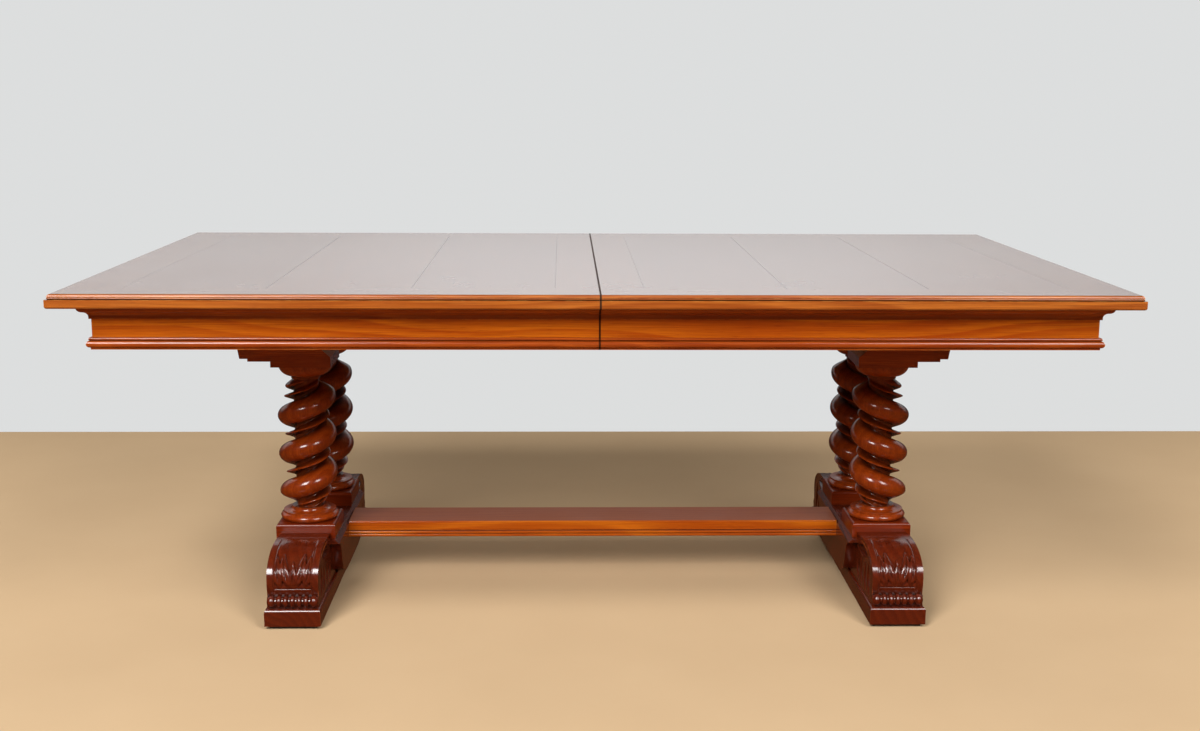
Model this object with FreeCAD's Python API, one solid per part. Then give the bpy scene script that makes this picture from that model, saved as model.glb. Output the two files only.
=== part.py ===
import FreeCAD, Part
import math
import os

# Extending dining table: two sliding top halves on a base of four twisted columns.
# Millimetres. The origin is on the floor under the middle of the table. X runs along
# the length, Y from the front (minus) to the back, Z up. The left half is at minus X.

os.makedirs("parts", exist_ok=True)
V = FreeCAD.Vector

# Overall sizes
TOP_LENGTH = 2090
TOP_WIDTH = 1180
TOP_HEIGHT = 740
TRESTLE_FROM_END = 405  # end of the top to the columns
COLUMN_Y = 130  # middle of the table to the columns, across the width
HALF_LENGTH = TOP_LENGTH / 2
HALF_WIDTH = TOP_WIDTH / 2
TRESTLE_X = HALF_LENGTH - TRESTLE_FROM_END

# Fits
SLIDE_GAP = 0.4  # between pieces that slide past each other
PEG_GAP = 0.2  # around pegs, spigots and screws in their holes
END_GAP = 2  # left beyond the ends of spigots, tenons and dowels
QUARTER_ROUND = 1 - math.sqrt(0.5)  # swing of a quarter circle from its chord, for radius 1

# Top: a mitred frame around boards that run across the table
SLAB_THICKNESS = 28
SLAB_BOTTOM = TOP_HEIGHT - SLAB_THICKNESS
FRAME_WIDTH = 96
END_STILE_WIDTH = 118
JOINT_STILE_WIDTH = 86
BOARDS_PER_HALF = 3
EDGE_SETBACK = 10  # flat of the top to the furthest point of the moulded edge
EDGE_ROUND = 6  # radius of the small round at the top of the edge
EDGE_BEAD = 4.5  # height of the bead below it
EDGE_QUIRK = 1.5  # depth of the notch between the two
EDGE_FOOT = 5  # radius at the bottom of the edge

# Levels under the top, from the battens down to the columns
BATTEN_THICKNESS = 22
RAIL_BATTEN_GAP = 8
RAIL_HEIGHT = 60
BEARER_THICKNESS = 50
CORBEL_HEIGHT = 34
ABACUS_THICKNESS = 13
BATTEN_BOTTOM = SLAB_BOTTOM - BATTEN_THICKNESS
RAIL_TOP = BATTEN_BOTTOM - RAIL_BATTEN_GAP
BEARER_TOP = RAIL_TOP - RAIL_HEIGHT
CORBEL_TOP = BEARER_TOP - BEARER_THICKNESS
ABACUS_TOP = CORBEL_TOP - CORBEL_HEIGHT
ABACUS_BOTTOM = ABACUS_TOP - ABACUS_THICKNESS

# Apron with a cornice above and a moulding below
APRON_INSET = 66  # slab's furthest point to the apron face
APRON_THICKNESS = 24
APRON_HEIGHT = 88
APRON_BOTTOM = SLAB_BOTTOM - APRON_HEIGHT
CORNICE_DEPTH = 26
CORNICE_HEIGHT = 28
CORNICE_STEP = 4  # each small step above and below its curves
CORNICE_BULGE = 2.5  # how far its round and its hollow swing from a straight slope
SKIRT_FILLET = 3  # depth of its plain back
SKIRT_HEIGHT = 24
SKIRT_BEAD = 6
SKIRT_NOSE = 14

# Feet
PAD_HEIGHT = 7
PAD_INSET = 9
PAD_LENGTH = 70
PLINTH_WIDTH = 118
PLINTH_HALF_LENGTH = 388
PLINTH_TOP = 43
PLINTH_EDGE_RADIUS = 6
FOOT_WIDTH = 108
FOOT_SEAT = 140  # level that the column blocks stand on
TOE_SETBACK = 12  # plinth end to the foot's toe
TOE_BEADS = 7
TOE_BEAD_RADIUS = 13
TOE_BEAD_NECK = 10
TOE_REEL = 1.5  # plain length between two beads
TOE_FILLET = 1.5  # above and below the beads
SCROLL_LEDGE = 7  # from the toe back to the foot of the scroll
SCROLL_START = 152  # height where the scroll leaves the column block
BLOCK_SIZE = 130
BLOCK_TOP = 172
BLOCK_END = COLUMN_Y + BLOCK_SIZE / 2
BLOCK_EDGE_RADIUS = 6
CHEEK_THICKNESS = 21
CHEEK_PAST_BLOCK = 14
CHEEK_HALF_LENGTH = BLOCK_END + CHEEK_PAST_BLOCK
CHEEK_BOTTOM = 38
CHEEK_CHAMFER = 9

# Points of the scroll's curve: part of the way from toe to block, part of its rise
SCROLL_SHAPE = ((0.006, 0.33), (0.05, 0.66), (0.21, 0.91), (0.44, 1.04), (0.72, 1.06), (1, 1))

# Points of the cheek's curve: part of its half length, part of its height
CHEEK_SHAPE = ((0.84, 0.65), (0.8, 0.4), (0.73, 0.17), (0.6, 0.05), (0.41, 0))

# Stretcher between the feet
STRETCHER_WIDTH = 114
STRETCHER_TOP = 138
STRETCHER_THICKNESS = 38
STRETCHER_ROUND = 4  # radius of the upper edge
STRETCHER_BEAD = 7
STRETCHER_LOW_BEAD = 1.8  # how far the lowest bead stands out
STRETCHER_QUIRK = 3  # depth of the notches around the beads
TENON_WIDTH = 84
TENON_THICKNESS = 20
TENON_LENGTH = 75
PEG_RADIUS = 5
PEG_SPACING = 46
PEG_FROM_SIDE = 25  # foot's inner side to the pegs
PEG_BELOW_TENON = 18

# Columns
ROLL_RADIUS = 64
CORE_RADIUS = 28
FIN_RADIUS = 51
TWIST_PITCH = 86
ROLL_SHARE = 0.63  # part of one turn that the roll takes, the rest is hollow and fin
ROLL_LEFT_HEIGHT = 405  # a height where the left columns' roll points to the left
RUN_OUT = 34  # length over which the twist grows from the plain neck
BASE_RING_RADIUS = 64
BASE_RING_HEIGHT = 20
BASE_RING_ROUND = 16  # height of its round part
BASE_RING_BULGE = 6
NECK_RADIUS = 39
NECK_HEIGHT = 9
NECK_HOLLOW = 8  # width of the hollow that runs down to the base ring
SPIGOT_RADIUS = 20
SPIGOT_LENGTH = 55
OVOLO_RADIUS = 61
OVOLO_HEIGHT = 28
OVOLO_BULGE = 8
CROWN_NECK_RADIUS = 32
SHAFT_JOIN = 3  # the shaft runs into the turned ends by this much
SECTIONS_PER_TURN = 20
CREST_FLAT = 0.09  # part of a half turn beside the crest where the poles lie on its tangent

# Corbels and bearers
CORBEL_FILLET = 6
CORBEL_REACH = 136  # column axis to the corbel's outer end
CORBEL_FILLET_REACH = 114
CORBEL_END_SLOPE = 5
CORBEL_BEVEL = 27  # at the inner upper corner
CORBEL_INNER_FACE = 3  # upright part between the fillet and the bevel
CORBEL_SPIGOT = 22
BEARER_WIDTH = 128
BEARER_HALF_LENGTH = 350
BEARER_TAPER_PAST_BLOCK = 30
BEARER_TAPER_START = BLOCK_END + BEARER_TAPER_PAST_BLOCK
BEARER_TAPER_RISE = 24
BEARER_INNER_SIDE = TRESTLE_X - BLOCK_SIZE / 2 + CORBEL_BEVEL  # from the table's middle

# Guide rails on the bearers and the runners of the two halves
RAIL_Y = 250
RAIL_WIDTH = 56
RAIL_HALF_LENGTH = BEARER_INNER_SIDE + BEARER_WIDTH
GROOVE_DEPTH = 12
GROOVE_HEIGHT = 16
GROOVE_MIDDLE = BEARER_TOP + RAIL_HEIGHT / 2
RUNNER_WIDTH = 38
RUNNER_LIFT = 6  # runner above the bearers
RUNNER_BOTTOM = BEARER_TOP + RUNNER_LIFT
STOP_LENGTH = 24
STOP_HEIGHT = 20
STOP_INSET = 3  # runner's sides to the sides of its stop
STOP_GAP = 1  # left between the stops when a half is fully out
STOP_BEARER_GAP = 53  # runner's stop to the other half's bearer when closed
TRAVEL = BEARER_INNER_SIDE - STOP_BEARER_GAP - 2 * STOP_LENGTH - STOP_GAP  # of each half
RUNNER_HOLD = 100  # length that stays past the joint when a half is fully out
RUNNER_PAST_JOINT = TRAVEL + RUNNER_HOLD
RUNNER_STEP = 6  # the part under the other half is lower by this
RUNNER_STEP_LENGTH = 12  # how far before the joint that part begins
BATTEN_WIDTH = 60
BATTEN_END_GAP = 14
BATTEN_FROM_JOINT = 73  # to the middle of the nearest batten
BATTEN_FROM_END = 165  # to the middle of the furthest one

# Fasteners and dowels
SCREW_RADIUS = 3
SCREW_HEAD_RADIUS = 6
SCREW_HEAD_DEPTH = 4
SCREW_SLOT = 1.2
SCREW_LENGTH = 85
SCREW_SPACING = 70
DOWEL_RADIUS = 5
DOWEL_BURIED_LENGTH = 30
DOWEL_OUT_LENGTH = 14
DOWEL_SPACING = 360


# Drawing helpers

def box(x0, x1, y0, y1, z0, z1):
    return Part.makeBox(x1 - x0, y1 - y0, z1 - z0, V(x0, y0, z0))


def rod(radius, height, foot, direction=V(0, 0, 1)):
    return Part.makeCylinder(radius, height, foot, direction)


def outline_face(place, start, *steps):
    """Closed face from a start point and steps. A step is a point for a straight line,
    a pair of points for an arc through the first to the second, or a longer list for
    a smooth curve. place turns the two drawn numbers into a point in space."""
    edges = []
    here = start
    for step in steps + (start,):
        if not isinstance(step[0], tuple):
            edges.append(Part.makeLine(place(*here), place(*step)))
            here = step
            continue
        points = [place(*here)] + [place(*p) for p in step]
        if len(points) == 3:
            edges.append(Part.Arc(*points).toShape())
        else:
            curve = Part.BSplineCurve()
            curve.interpolate(points)
            edges.append(curve.toShape())
        here = step[-1]
    return Part.Face(Part.Wire(edges))


def arc_to(here, there, swing):
    """Step for an arc from here to there that swings to the left of its chord."""
    across = (there[0] - here[0], there[1] - here[1])
    part = swing / math.hypot(*across)
    middle = ((here[0] + there[0]) / 2 - across[1] * part, (here[1] + there[1]) / 2 + across[0] * part)
    return middle, there


def turned(*outline):
    """Solid turned about the Z axis from (radius, height) steps that begin on the axis."""
    face = outline_face(lambda r, z: V(r, 0, z), *outline)
    return face.revolve(V(0, 0, 0), V(0, 0, 1), 360)


def one_solid(shape):
    """The only solid of a shape, or an error where joining or cutting left more or none."""
    if len(shape.Solids) != 1:
        raise ValueError("expected one solid, found %d" % len(shape.Solids))
    return shape.Solids[0]


def left_to_right(shape):
    return shape.mirror(V(0, 0, 0), V(1, 0, 0))


def front_to_back(shape):
    return shape.mirror(V(0, 0, 0), V(0, 1, 0))


def save(name, *solids):
    shape = solids[0] if len(solids) == 1 else Part.makeCompound(solids)
    shape.exportStep("parts/" + name + ".step")


# Strips that run around the left half: front, end and back, mitred at the corners

def border_strip(side, start, *steps):
    """A strip of the section given in (inset from the slab's furthest point, height)."""
    middle = (-HALF_LENGTH + HALF_WIDTH, 0)
    if side == "end":
        face = outline_face(lambda i, z: V(-HALF_LENGTH + i, -HALF_WIDTH, z), start, *steps)
        strip = face.extrude(V(0, TOP_WIDTH, 0))
        plan = ((-HALF_LENGTH, -HALF_WIDTH), middle, (-HALF_LENGTH, HALF_WIDTH))
    else:
        face = outline_face(lambda i, z: V(-HALF_LENGTH, -HALF_WIDTH + i, z), start, *steps)
        strip = face.extrude(V(HALF_LENGTH, 0, 0))
        plan = ((-HALF_LENGTH, -HALF_WIDTH), (0, -HALF_WIDTH), (0, 0), middle)
    keep = outline_face(lambda x, y: V(x, y, 0), *plan).extrude(V(0, 0, TOP_HEIGHT))
    strip = one_solid(strip.common(keep))
    return front_to_back(strip) if side == "back" else strip


def border_strips(*section):
    return [border_strip(side, *section) for side in ("front", "end", "back")]


def slab_section():
    """A small round, a bead under a quirk, and an upright face with a rounded foot."""
    arris = (EDGE_SETBACK, TOP_HEIGHT)
    round_end = (EDGE_SETBACK - EDGE_ROUND, TOP_HEIGHT - EDGE_ROUND)
    bead_start = (round_end[0] + EDGE_QUIRK, round_end[1])
    bead_end = (bead_start[0], bead_start[1] - EDGE_BEAD)
    foot_start = (0, SLAB_BOTTOM + EDGE_FOOT)
    return (
        (FRAME_WIDTH, TOP_HEIGHT),
        arris,
        arc_to(arris, round_end, -EDGE_ROUND * QUARTER_ROUND),
        bead_start,
        arc_to(bead_start, bead_end, -EDGE_QUIRK),
        (0, bead_end[1]),
        foot_start,
        arc_to(foot_start, (EDGE_FOOT, SLAB_BOTTOM), -EDGE_FOOT * QUARTER_ROUND),
        (FRAME_WIDTH, SLAB_BOTTOM),
    )


def apron_section():
    back = APRON_INSET + APRON_THICKNESS
    return (
        (APRON_INSET, SLAB_BOTTOM),
        (APRON_INSET, APRON_BOTTOM),
        (back, APRON_BOTTOM),
        (back, SLAB_BOTTOM),
    )


def cornice_section():
    """A fillet under the slab, then a round that runs into a hollow above a small step."""
    out = APRON_INSET - CORNICE_DEPTH
    low = SLAB_BOTTOM - CORNICE_HEIGHT
    fillet_end = SLAB_BOTTOM - CORNICE_STEP
    round_start = (out + CORNICE_STEP, fillet_end)
    hollow_end = (APRON_INSET - CORNICE_STEP, low + CORNICE_STEP)
    middle = ((round_start[0] + hollow_end[0]) / 2, (round_start[1] + hollow_end[1]) / 2)
    return (
        (out, SLAB_BOTTOM),
        (out, fillet_end),
        round_start,
        arc_to(round_start, middle, -CORNICE_BULGE),
        arc_to(middle, hollow_end, CORNICE_BULGE),
        (hollow_end[0], low),
        (APRON_INSET, low),
        (APRON_INSET, SLAB_BOTTOM),
    )


def skirt_section():
    """A bead, a larger round nose and a fillet along the apron's lower edge."""
    back = APRON_INSET - SKIRT_FILLET
    bead_top = (back, APRON_BOTTOM + SKIRT_HEIGHT)
    nose_top = (back, bead_top[1] - SKIRT_BEAD)
    nose_bottom = (back, nose_top[1] - SKIRT_NOSE)
    return (
        (APRON_INSET, bead_top[1]),
        bead_top,
        arc_to(bead_top, nose_top, -SKIRT_BEAD / 2),
        arc_to(nose_top, nose_bottom, -SKIRT_NOSE / 2),
        (back, APRON_BOTTOM),
        (APRON_INSET, APRON_BOTTOM),
    )


# Twisted columns

def roll_radius(turn, growth):
    """Radius at a part of one turn from the roll's crest (-1 to 1 is fin to fin)."""
    away = abs(turn)
    if away <= CREST_FLAT:
        crest = CORE_RADIUS + growth * (ROLL_RADIUS - CORE_RADIUS)
        return crest / math.cos(math.pi * away)
    if away <= ROLL_SHARE:
        swell = math.sqrt(1 - (away / ROLL_SHARE) ** 2)
        return CORE_RADIUS + growth * (ROLL_RADIUS - CORE_RADIUS) * swell
    rise = (away - ROLL_SHARE) / (1 - ROLL_SHARE)
    return CORE_RADIUS + growth * (FIN_RADIUS - CORE_RADIUS) * rise ** 2


def ease(value):
    value = min(max(value, 0), 1)
    return value * value * (3 - 2 * value)


def clamped_knots(count):
    """Knots and their repeats for a cubic curve that starts and ends on its outer poles."""
    spans = count - 3
    return list(range(spans + 1)), [4] + [1] * (spans - 1) + [4]


def smooth_patch(poles):
    """Cubic surface drawn by a grid of poles, in rows of equal length."""
    row_knots, row_repeats = clamped_knots(len(poles))
    knots, repeats = clamped_knots(len(poles[0]))
    surface = Part.BSplineSurface()
    surface.buildFromPolesMultsKnots(poles, row_repeats, repeats, row_knots, knots, False, False, 3, 3)
    return surface.toShape()


def twist_row(z, growth, turns):
    """Poles of one level of the shaft, at the given parts of a turn from the crest."""
    crest = math.pi + 2 * math.pi * (z - ROLL_LEFT_HEIGHT) / TWIST_PITCH
    pull_in = (2 + math.cos(2 * math.pi / SECTIONS_PER_TURN)) / 3
    row = []
    for turn in turns:
        radius = roll_radius(turn, growth) / pull_in
        angle = crest + math.pi * turn
        row.append(V(radius * math.cos(angle), radius * math.sin(angle), z))
    return row


def twisted_shaft(low, high):
    """Right-handed single roll with a fin between its turns, from low to high.
    It has two surfaces, which meet along the roll's crest and along the fin."""
    fin_turns = [1 - n / 3 * (1 - ROLL_SHARE) for n in range(4)]
    roll_turns = [ROLL_SHARE * math.cos(math.radians(a)) for a in range(12, 73, 12)]
    half_turn = fin_turns + roll_turns + [CREST_FLAT, 0]
    rows = math.ceil((high - low) / TWIST_PITCH * SECTIONS_PER_TURN)
    behind = []
    ahead = []
    for row in range(rows + 1):
        z = low + (high - low) * row / rows
        growth = ease((z - low) / RUN_OUT) * ease((high - z) / RUN_OUT)
        behind.append(twist_row(z, growth, [-t for t in half_turn]))
        ahead.append(twist_row(z, growth, half_turn[::-1]))
    sides = [smooth_patch(behind), smooth_patch(ahead)]
    edges = sides[0].Edges + sides[1].Edges
    lower_rim = [e for e in edges if e.BoundBox.ZMax < low + SHAFT_JOIN]
    upper_rim = [e for e in edges if e.BoundBox.ZMin > high - SHAFT_JOIN]
    caps = [Part.Face(Part.Wire(rim)) for rim in (lower_rim, upper_rim)]
    shell = Part.makeShell(sides + caps)
    shell.sewShape()
    return Part.Solid(shell)


def column():
    """Spigot, base ring, neck, twisted shaft, ovolo under the abacus and top spigot."""
    foot_end = BLOCK_TOP - SPIGOT_LENGTH
    ring_top = BLOCK_TOP + BASE_RING_HEIGHT
    neck_top = ring_top + NECK_HEIGHT
    collar = BASE_RING_RADIUS - BASE_RING_BULGE
    ring_start = (collar, BLOCK_TOP)
    ring_end = (collar, BLOCK_TOP + BASE_RING_ROUND)
    hollow_start = (NECK_RADIUS + NECK_HOLLOW, ring_top)
    base = turned(
        (0, foot_end),
        (SPIGOT_RADIUS, foot_end),
        (SPIGOT_RADIUS, BLOCK_TOP),
        ring_start,
        arc_to(ring_start, ring_end, -BASE_RING_BULGE),
        (collar, ring_top),
        hollow_start,
        arc_to(hollow_start, (NECK_RADIUS, neck_top), NECK_HOLLOW * QUARTER_ROUND),
        (0, neck_top),
    )
    neck_bottom = ABACUS_BOTTOM - OVOLO_HEIGHT - 2 * SHAFT_JOIN
    ovolo_start = (CROWN_NECK_RADIUS, ABACUS_BOTTOM - OVOLO_HEIGHT)
    spigot_end = ABACUS_TOP + CORBEL_SPIGOT
    crown = turned(
        (0, neck_bottom),
        (CROWN_NECK_RADIUS, neck_bottom),
        ovolo_start,
        arc_to(ovolo_start, (OVOLO_RADIUS, ABACUS_BOTTOM), -OVOLO_BULGE),
        (SPIGOT_RADIUS, ABACUS_BOTTOM),
        (SPIGOT_RADIUS, spigot_end),
        (0, spigot_end),
    )
    shaft = twisted_shaft(neck_top - SHAFT_JOIN, neck_bottom + SHAFT_JOIN)
    return one_solid(base.fuse([shaft, crown]))


def spigot_hole(low, high):
    return rod(SPIGOT_RADIUS + PEG_GAP, high - low, V(0, 0, low))


def abacus():
    half = BLOCK_SIZE / 2
    board = box(-half, half, -half, half, ABACUS_BOTTOM, ABACUS_TOP)
    return board.cut(spigot_hole(ABACUS_BOTTOM, ABACUS_TOP))


def corbel():
    """Stepped block above a left column, longer on the outer side."""
    half = BLOCK_SIZE / 2
    step = ABACUS_TOP + CORBEL_FILLET
    face = outline_face(
        lambda x, z: V(x, -half, z),
        (half, ABACUS_TOP),
        (-CORBEL_FILLET_REACH, ABACUS_TOP),
        (-CORBEL_FILLET_REACH, step),
        (-CORBEL_REACH + CORBEL_END_SLOPE, step),
        (-CORBEL_REACH, CORBEL_TOP),
        (half - CORBEL_BEVEL, CORBEL_TOP),
        (half, step + CORBEL_INNER_FACE),
    )
    block = face.extrude(V(0, BLOCK_SIZE, 0))
    return block.cut(spigot_hole(ABACUS_TOP, ABACUS_TOP + CORBEL_SPIGOT + END_GAP))


def column_block():
    """Square block that a column stands on, rounded along its upper edges."""
    half = BLOCK_SIZE / 2
    block = box(-half, half, -half, half, FOOT_SEAT, BLOCK_TOP)
    rim = [e for e in block.Edges if e.BoundBox.ZMin > BLOCK_TOP - BLOCK_EDGE_RADIUS]
    block = block.makeFillet(BLOCK_EDGE_RADIUS, rim)
    return block.cut(spigot_hole(FOOT_SEAT, BLOCK_TOP))


# Feet, drawn about the middle of one foot and then moved to the left trestle

def plinth():
    half = PLINTH_WIDTH / 2
    board = box(-half, half, -PLINTH_HALF_LENGTH, PLINTH_HALF_LENGTH, PAD_HEIGHT, PLINTH_TOP)
    rim = [e for e in board.Edges if e.BoundBox.ZMin > PLINTH_TOP - PLINTH_EDGE_RADIUS]
    return board.makeFillet(PLINTH_EDGE_RADIUS, rim)


def floor_pads():
    half = PLINTH_WIDTH / 2 - PAD_INSET
    end = PLINTH_HALF_LENGTH - PAD_INSET
    pad = box(-half, half, -end, -end + PAD_LENGTH, 0, PAD_HEIGHT)
    return [pad, front_to_back(pad)]


def tenon_hole():
    """Housing of the stretcher's tenon, from the inner side of a left foot."""
    half = TENON_WIDTH / 2 + PEG_GAP
    middle = STRETCHER_TOP - STRETCHER_THICKNESS / 2
    thick = TENON_THICKNESS / 2 + PEG_GAP
    inner = FOOT_WIDTH / 2 + CHEEK_THICKNESS
    return box(inner - TENON_LENGTH - END_GAP, inner, -half, half, middle - thick, middle + thick)


def peg_place(side):
    """Where the lower end of a peg stands, seen from the middle of a left foot."""
    tenon_bottom = STRETCHER_TOP - STRETCHER_THICKNESS / 2 - TENON_THICKNESS / 2
    return V(FOOT_WIDTH / 2 - PEG_FROM_SIDE, side * PEG_SPACING / 2, tenon_bottom - PEG_BELOW_TENON)


def peg(side, gap):
    """Peg that holds a tenon in the left foot, or its hole when gap is given."""
    place = peg_place(side) - V(0, 0, gap)
    return rod(PEG_RADIUS + gap, FOOT_SEAT - place.z, place)


def toe_beads(toe, middle_height):
    """Row of beads along the front toe, turned about a line along X and half sunk in it."""
    half = FOOT_WIDTH / 2
    pitch = FOOT_WIDTH / TOE_BEADS
    axis = V(0, -toe, middle_height)
    steps = [(-half, TOE_BEAD_NECK)]
    for n in range(TOE_BEADS):
        start = (-half + n * pitch + TOE_REEL, TOE_BEAD_NECK)
        end = (-half + (n + 1) * pitch - TOE_REEL, TOE_BEAD_NECK)
        steps += [start, arc_to(start, end, TOE_BEAD_RADIUS - TOE_BEAD_NECK)]
    steps += [(half, TOE_BEAD_NECK), (half, 0)]
    face = outline_face(lambda x, r: axis + V(x, 0, r), (-half, 0), *steps)
    return face.revolve(axis, V(1, 0, 0), 360)


def foot():
    """Carved body: a scroll at each end, a level seat between them, beads on the toes."""
    toe = PLINTH_HALF_LENGTH - TOE_SETBACK
    beads_middle = PLINTH_TOP + TOE_FILLET + TOE_BEAD_RADIUS
    beads_top = beads_middle + TOE_BEAD_RADIUS + TOE_FILLET
    half = FOOT_WIDTH / 2
    rise = SCROLL_START - beads_top
    scroll_front = [(-toe + (toe - BLOCK_END) * along, beads_top + rise * up) for along, up in SCROLL_SHAPE]
    scroll_back = [(-y, z) for y, z in reversed(scroll_front[:-1])]
    face = outline_face(
        lambda y, z: V(-half, y, z),
        (-toe, PLINTH_TOP),
        (-toe, beads_top),
        (-toe + SCROLL_LEDGE, beads_top),
        scroll_front,
        (-BLOCK_END, FOOT_SEAT),
        (BLOCK_END, FOOT_SEAT),
        (BLOCK_END, SCROLL_START),
        scroll_back + [(toe - SCROLL_LEDGE, beads_top)],
        (toe, beads_top),
        (toe, PLINTH_TOP),
    )
    body = face.extrude(V(FOOT_WIDTH, 0, 0))
    beads = toe_beads(toe, beads_middle)
    body = body.fuse([beads, front_to_back(beads)])
    column_hole = spigot_hole(BLOCK_TOP - SPIGOT_LENGTH - END_GAP, FOOT_SEAT)
    holes = [tenon_hole()]
    for side in (-1, 1):
        holes += [column_hole.translated(V(0, side * COLUMN_Y, 0)), peg(side, PEG_GAP)]
    return one_solid(body.cut(holes))


def cheek():
    """Bracket on the inner side of a left foot that the stretcher butts against."""
    back = FOOT_WIDTH / 2
    height = FOOT_SEAT - CHEEK_BOTTOM
    curve = [(-CHEEK_HALF_LENGTH * along, CHEEK_BOTTOM + height * up) for along, up in CHEEK_SHAPE]
    mirrored = [(-y, z) for y, z in reversed(curve)]
    face = outline_face(
        lambda y, z: V(back, y, z),
        (-CHEEK_HALF_LENGTH, FOOT_SEAT),
        (-CHEEK_HALF_LENGTH, FOOT_SEAT - CHEEK_CHAMFER),
        curve,
        mirrored[0],
        mirrored[1:] + [(CHEEK_HALF_LENGTH, FOOT_SEAT - CHEEK_CHAMFER)],
        (CHEEK_HALF_LENGTH, FOOT_SEAT),
    )
    board = face.extrude(V(CHEEK_THICKNESS, 0, 0))
    out = back + CHEEK_THICKNESS
    corner = outline_face(
        lambda x, z: V(x, -CHEEK_HALF_LENGTH, z),
        (out - CHEEK_CHAMFER, FOOT_SEAT),
        (out, FOOT_SEAT),
        (out, FOOT_SEAT - CHEEK_CHAMFER),
    ).extrude(V(0, 2 * CHEEK_HALF_LENGTH, 0))
    half = PLINTH_WIDTH / 2
    beside = box(-half, half, -CHEEK_HALF_LENGTH, CHEEK_HALF_LENGTH, PAD_HEIGHT, PLINTH_TOP)
    return one_solid(board.cut([corner, beside, tenon_hole()]))


def stretcher():
    """Flat board with moulded long edges and a tenon at each end."""
    end = TRESTLE_X - FOOT_WIDTH / 2 - CHEEK_THICKNESS
    half = STRETCHER_WIDTH / 2
    low = STRETCHER_TOP - STRETCHER_THICKNESS
    round_start = (-half + STRETCHER_ROUND, STRETCHER_TOP)
    round_end = (-half, STRETCHER_TOP - STRETCHER_ROUND)
    quirk = -half + STRETCHER_QUIRK
    bead_top = (quirk, low + 2 * STRETCHER_BEAD)
    bead_bottom = (quirk, low + STRETCHER_BEAD)
    face = outline_face(
        lambda y, z: V(-end, y, z),
        (0, STRETCHER_TOP),
        round_start,
        arc_to(round_start, round_end, -STRETCHER_ROUND * QUARTER_ROUND),
        (-half, bead_top[1] + STRETCHER_QUIRK),
        bead_top,
        arc_to(bead_top, bead_bottom, -STRETCHER_QUIRK),
        arc_to(bead_bottom, (quirk, low), -STRETCHER_LOW_BEAD),
        (0, low),
    )
    front = face.extrude(V(2 * end, 0, 0))
    middle = STRETCHER_TOP - STRETCHER_THICKNESS / 2
    thick = TENON_THICKNESS / 2
    reach = end + TENON_LENGTH
    tenons = box(-reach, reach, -TENON_WIDTH / 2, TENON_WIDTH / 2, middle - thick, middle + thick)
    board = front.fuse([front_to_back(front), tenons]).removeSplitter()
    return one_solid(board.cut(stretcher_pegs(PEG_GAP)))


def stretcher_pegs(gap):
    left_pegs = [peg(side, gap).translated(V(-TRESTLE_X, 0, 0)) for side in (-1, 1)]
    return left_pegs + [left_to_right(one) for one in left_pegs]


# Bearers, guide rails and their screws

def screw_places():
    bearer_middle = BEARER_INNER_SIDE + BEARER_WIDTH / 2
    places = []
    for x in (-bearer_middle, bearer_middle):
        for y in (-RAIL_Y, RAIL_Y):
            for along in (-SCREW_SPACING / 2, SCREW_SPACING / 2):
                places.append(V(x + along, y, RAIL_TOP))
    return places


def screw(gap):
    """Countersunk screw with its head level with z = 0, or its hole when gap is given."""
    shank = rod(SCREW_RADIUS + gap, SCREW_LENGTH + gap, V(0, 0, -SCREW_LENGTH - gap))
    head = Part.makeCone(SCREW_RADIUS + gap, SCREW_HEAD_RADIUS + gap, SCREW_HEAD_DEPTH,
                         V(0, 0, -SCREW_HEAD_DEPTH))
    return shank.fuse(head)


def screws():
    half = SCREW_SLOT / 2
    slot = box(-SCREW_HEAD_RADIUS, SCREW_HEAD_RADIUS, -half, half, -SCREW_SLOT, 0)
    one = one_solid(screw(0).cut(slot))
    return [one.translated(place) for place in screw_places()]


def screw_holes():
    return [screw(PEG_GAP).translated(place) for place in screw_places()]


def left_bearer():
    """Cross bearer on the two left corbels, tapered underneath at both ends."""
    taper_end = CORBEL_TOP + BEARER_TAPER_RISE
    face = outline_face(
        lambda y, z: V(-BEARER_INNER_SIDE - BEARER_WIDTH, y, z),
        (-BEARER_HALF_LENGTH, BEARER_TOP),
        (-BEARER_HALF_LENGTH, taper_end),
        (-BEARER_TAPER_START, CORBEL_TOP),
        (BEARER_TAPER_START, CORBEL_TOP),
        (BEARER_HALF_LENGTH, taper_end),
        (BEARER_HALF_LENGTH, BEARER_TOP),
    )
    return one_solid(face.extrude(V(BEARER_WIDTH, 0, 0)).cut(screw_holes()))


def front_guide_rail():
    """Fixed rail with a groove on each side for a runner."""
    near = -RAIL_Y - RAIL_WIDTH / 2
    far = -RAIL_Y + RAIL_WIDTH / 2
    end = RAIL_HALF_LENGTH
    rail = box(-end, end, near, far, BEARER_TOP, RAIL_TOP)
    low = GROOVE_MIDDLE - GROOVE_HEIGHT / 2
    high = GROOVE_MIDDLE + GROOVE_HEIGHT / 2
    outer_groove = box(-end, end, near, near + GROOVE_DEPTH, low, high)
    inner_groove = box(-end, end, far - GROOVE_DEPTH, far, low, high)
    return one_solid(rail.cut([outer_groove, inner_groove] + screw_holes()))


def runner_sides(outer):
    """Y limits of a front runner, outside the rail or inside it."""
    if outer:
        high = -RAIL_Y - RAIL_WIDTH / 2 - SLIDE_GAP
        return high - RUNNER_WIDTH, high
    low = -RAIL_Y + RAIL_WIDTH / 2 + SLIDE_GAP
    return low, low + RUNNER_WIDTH


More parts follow.
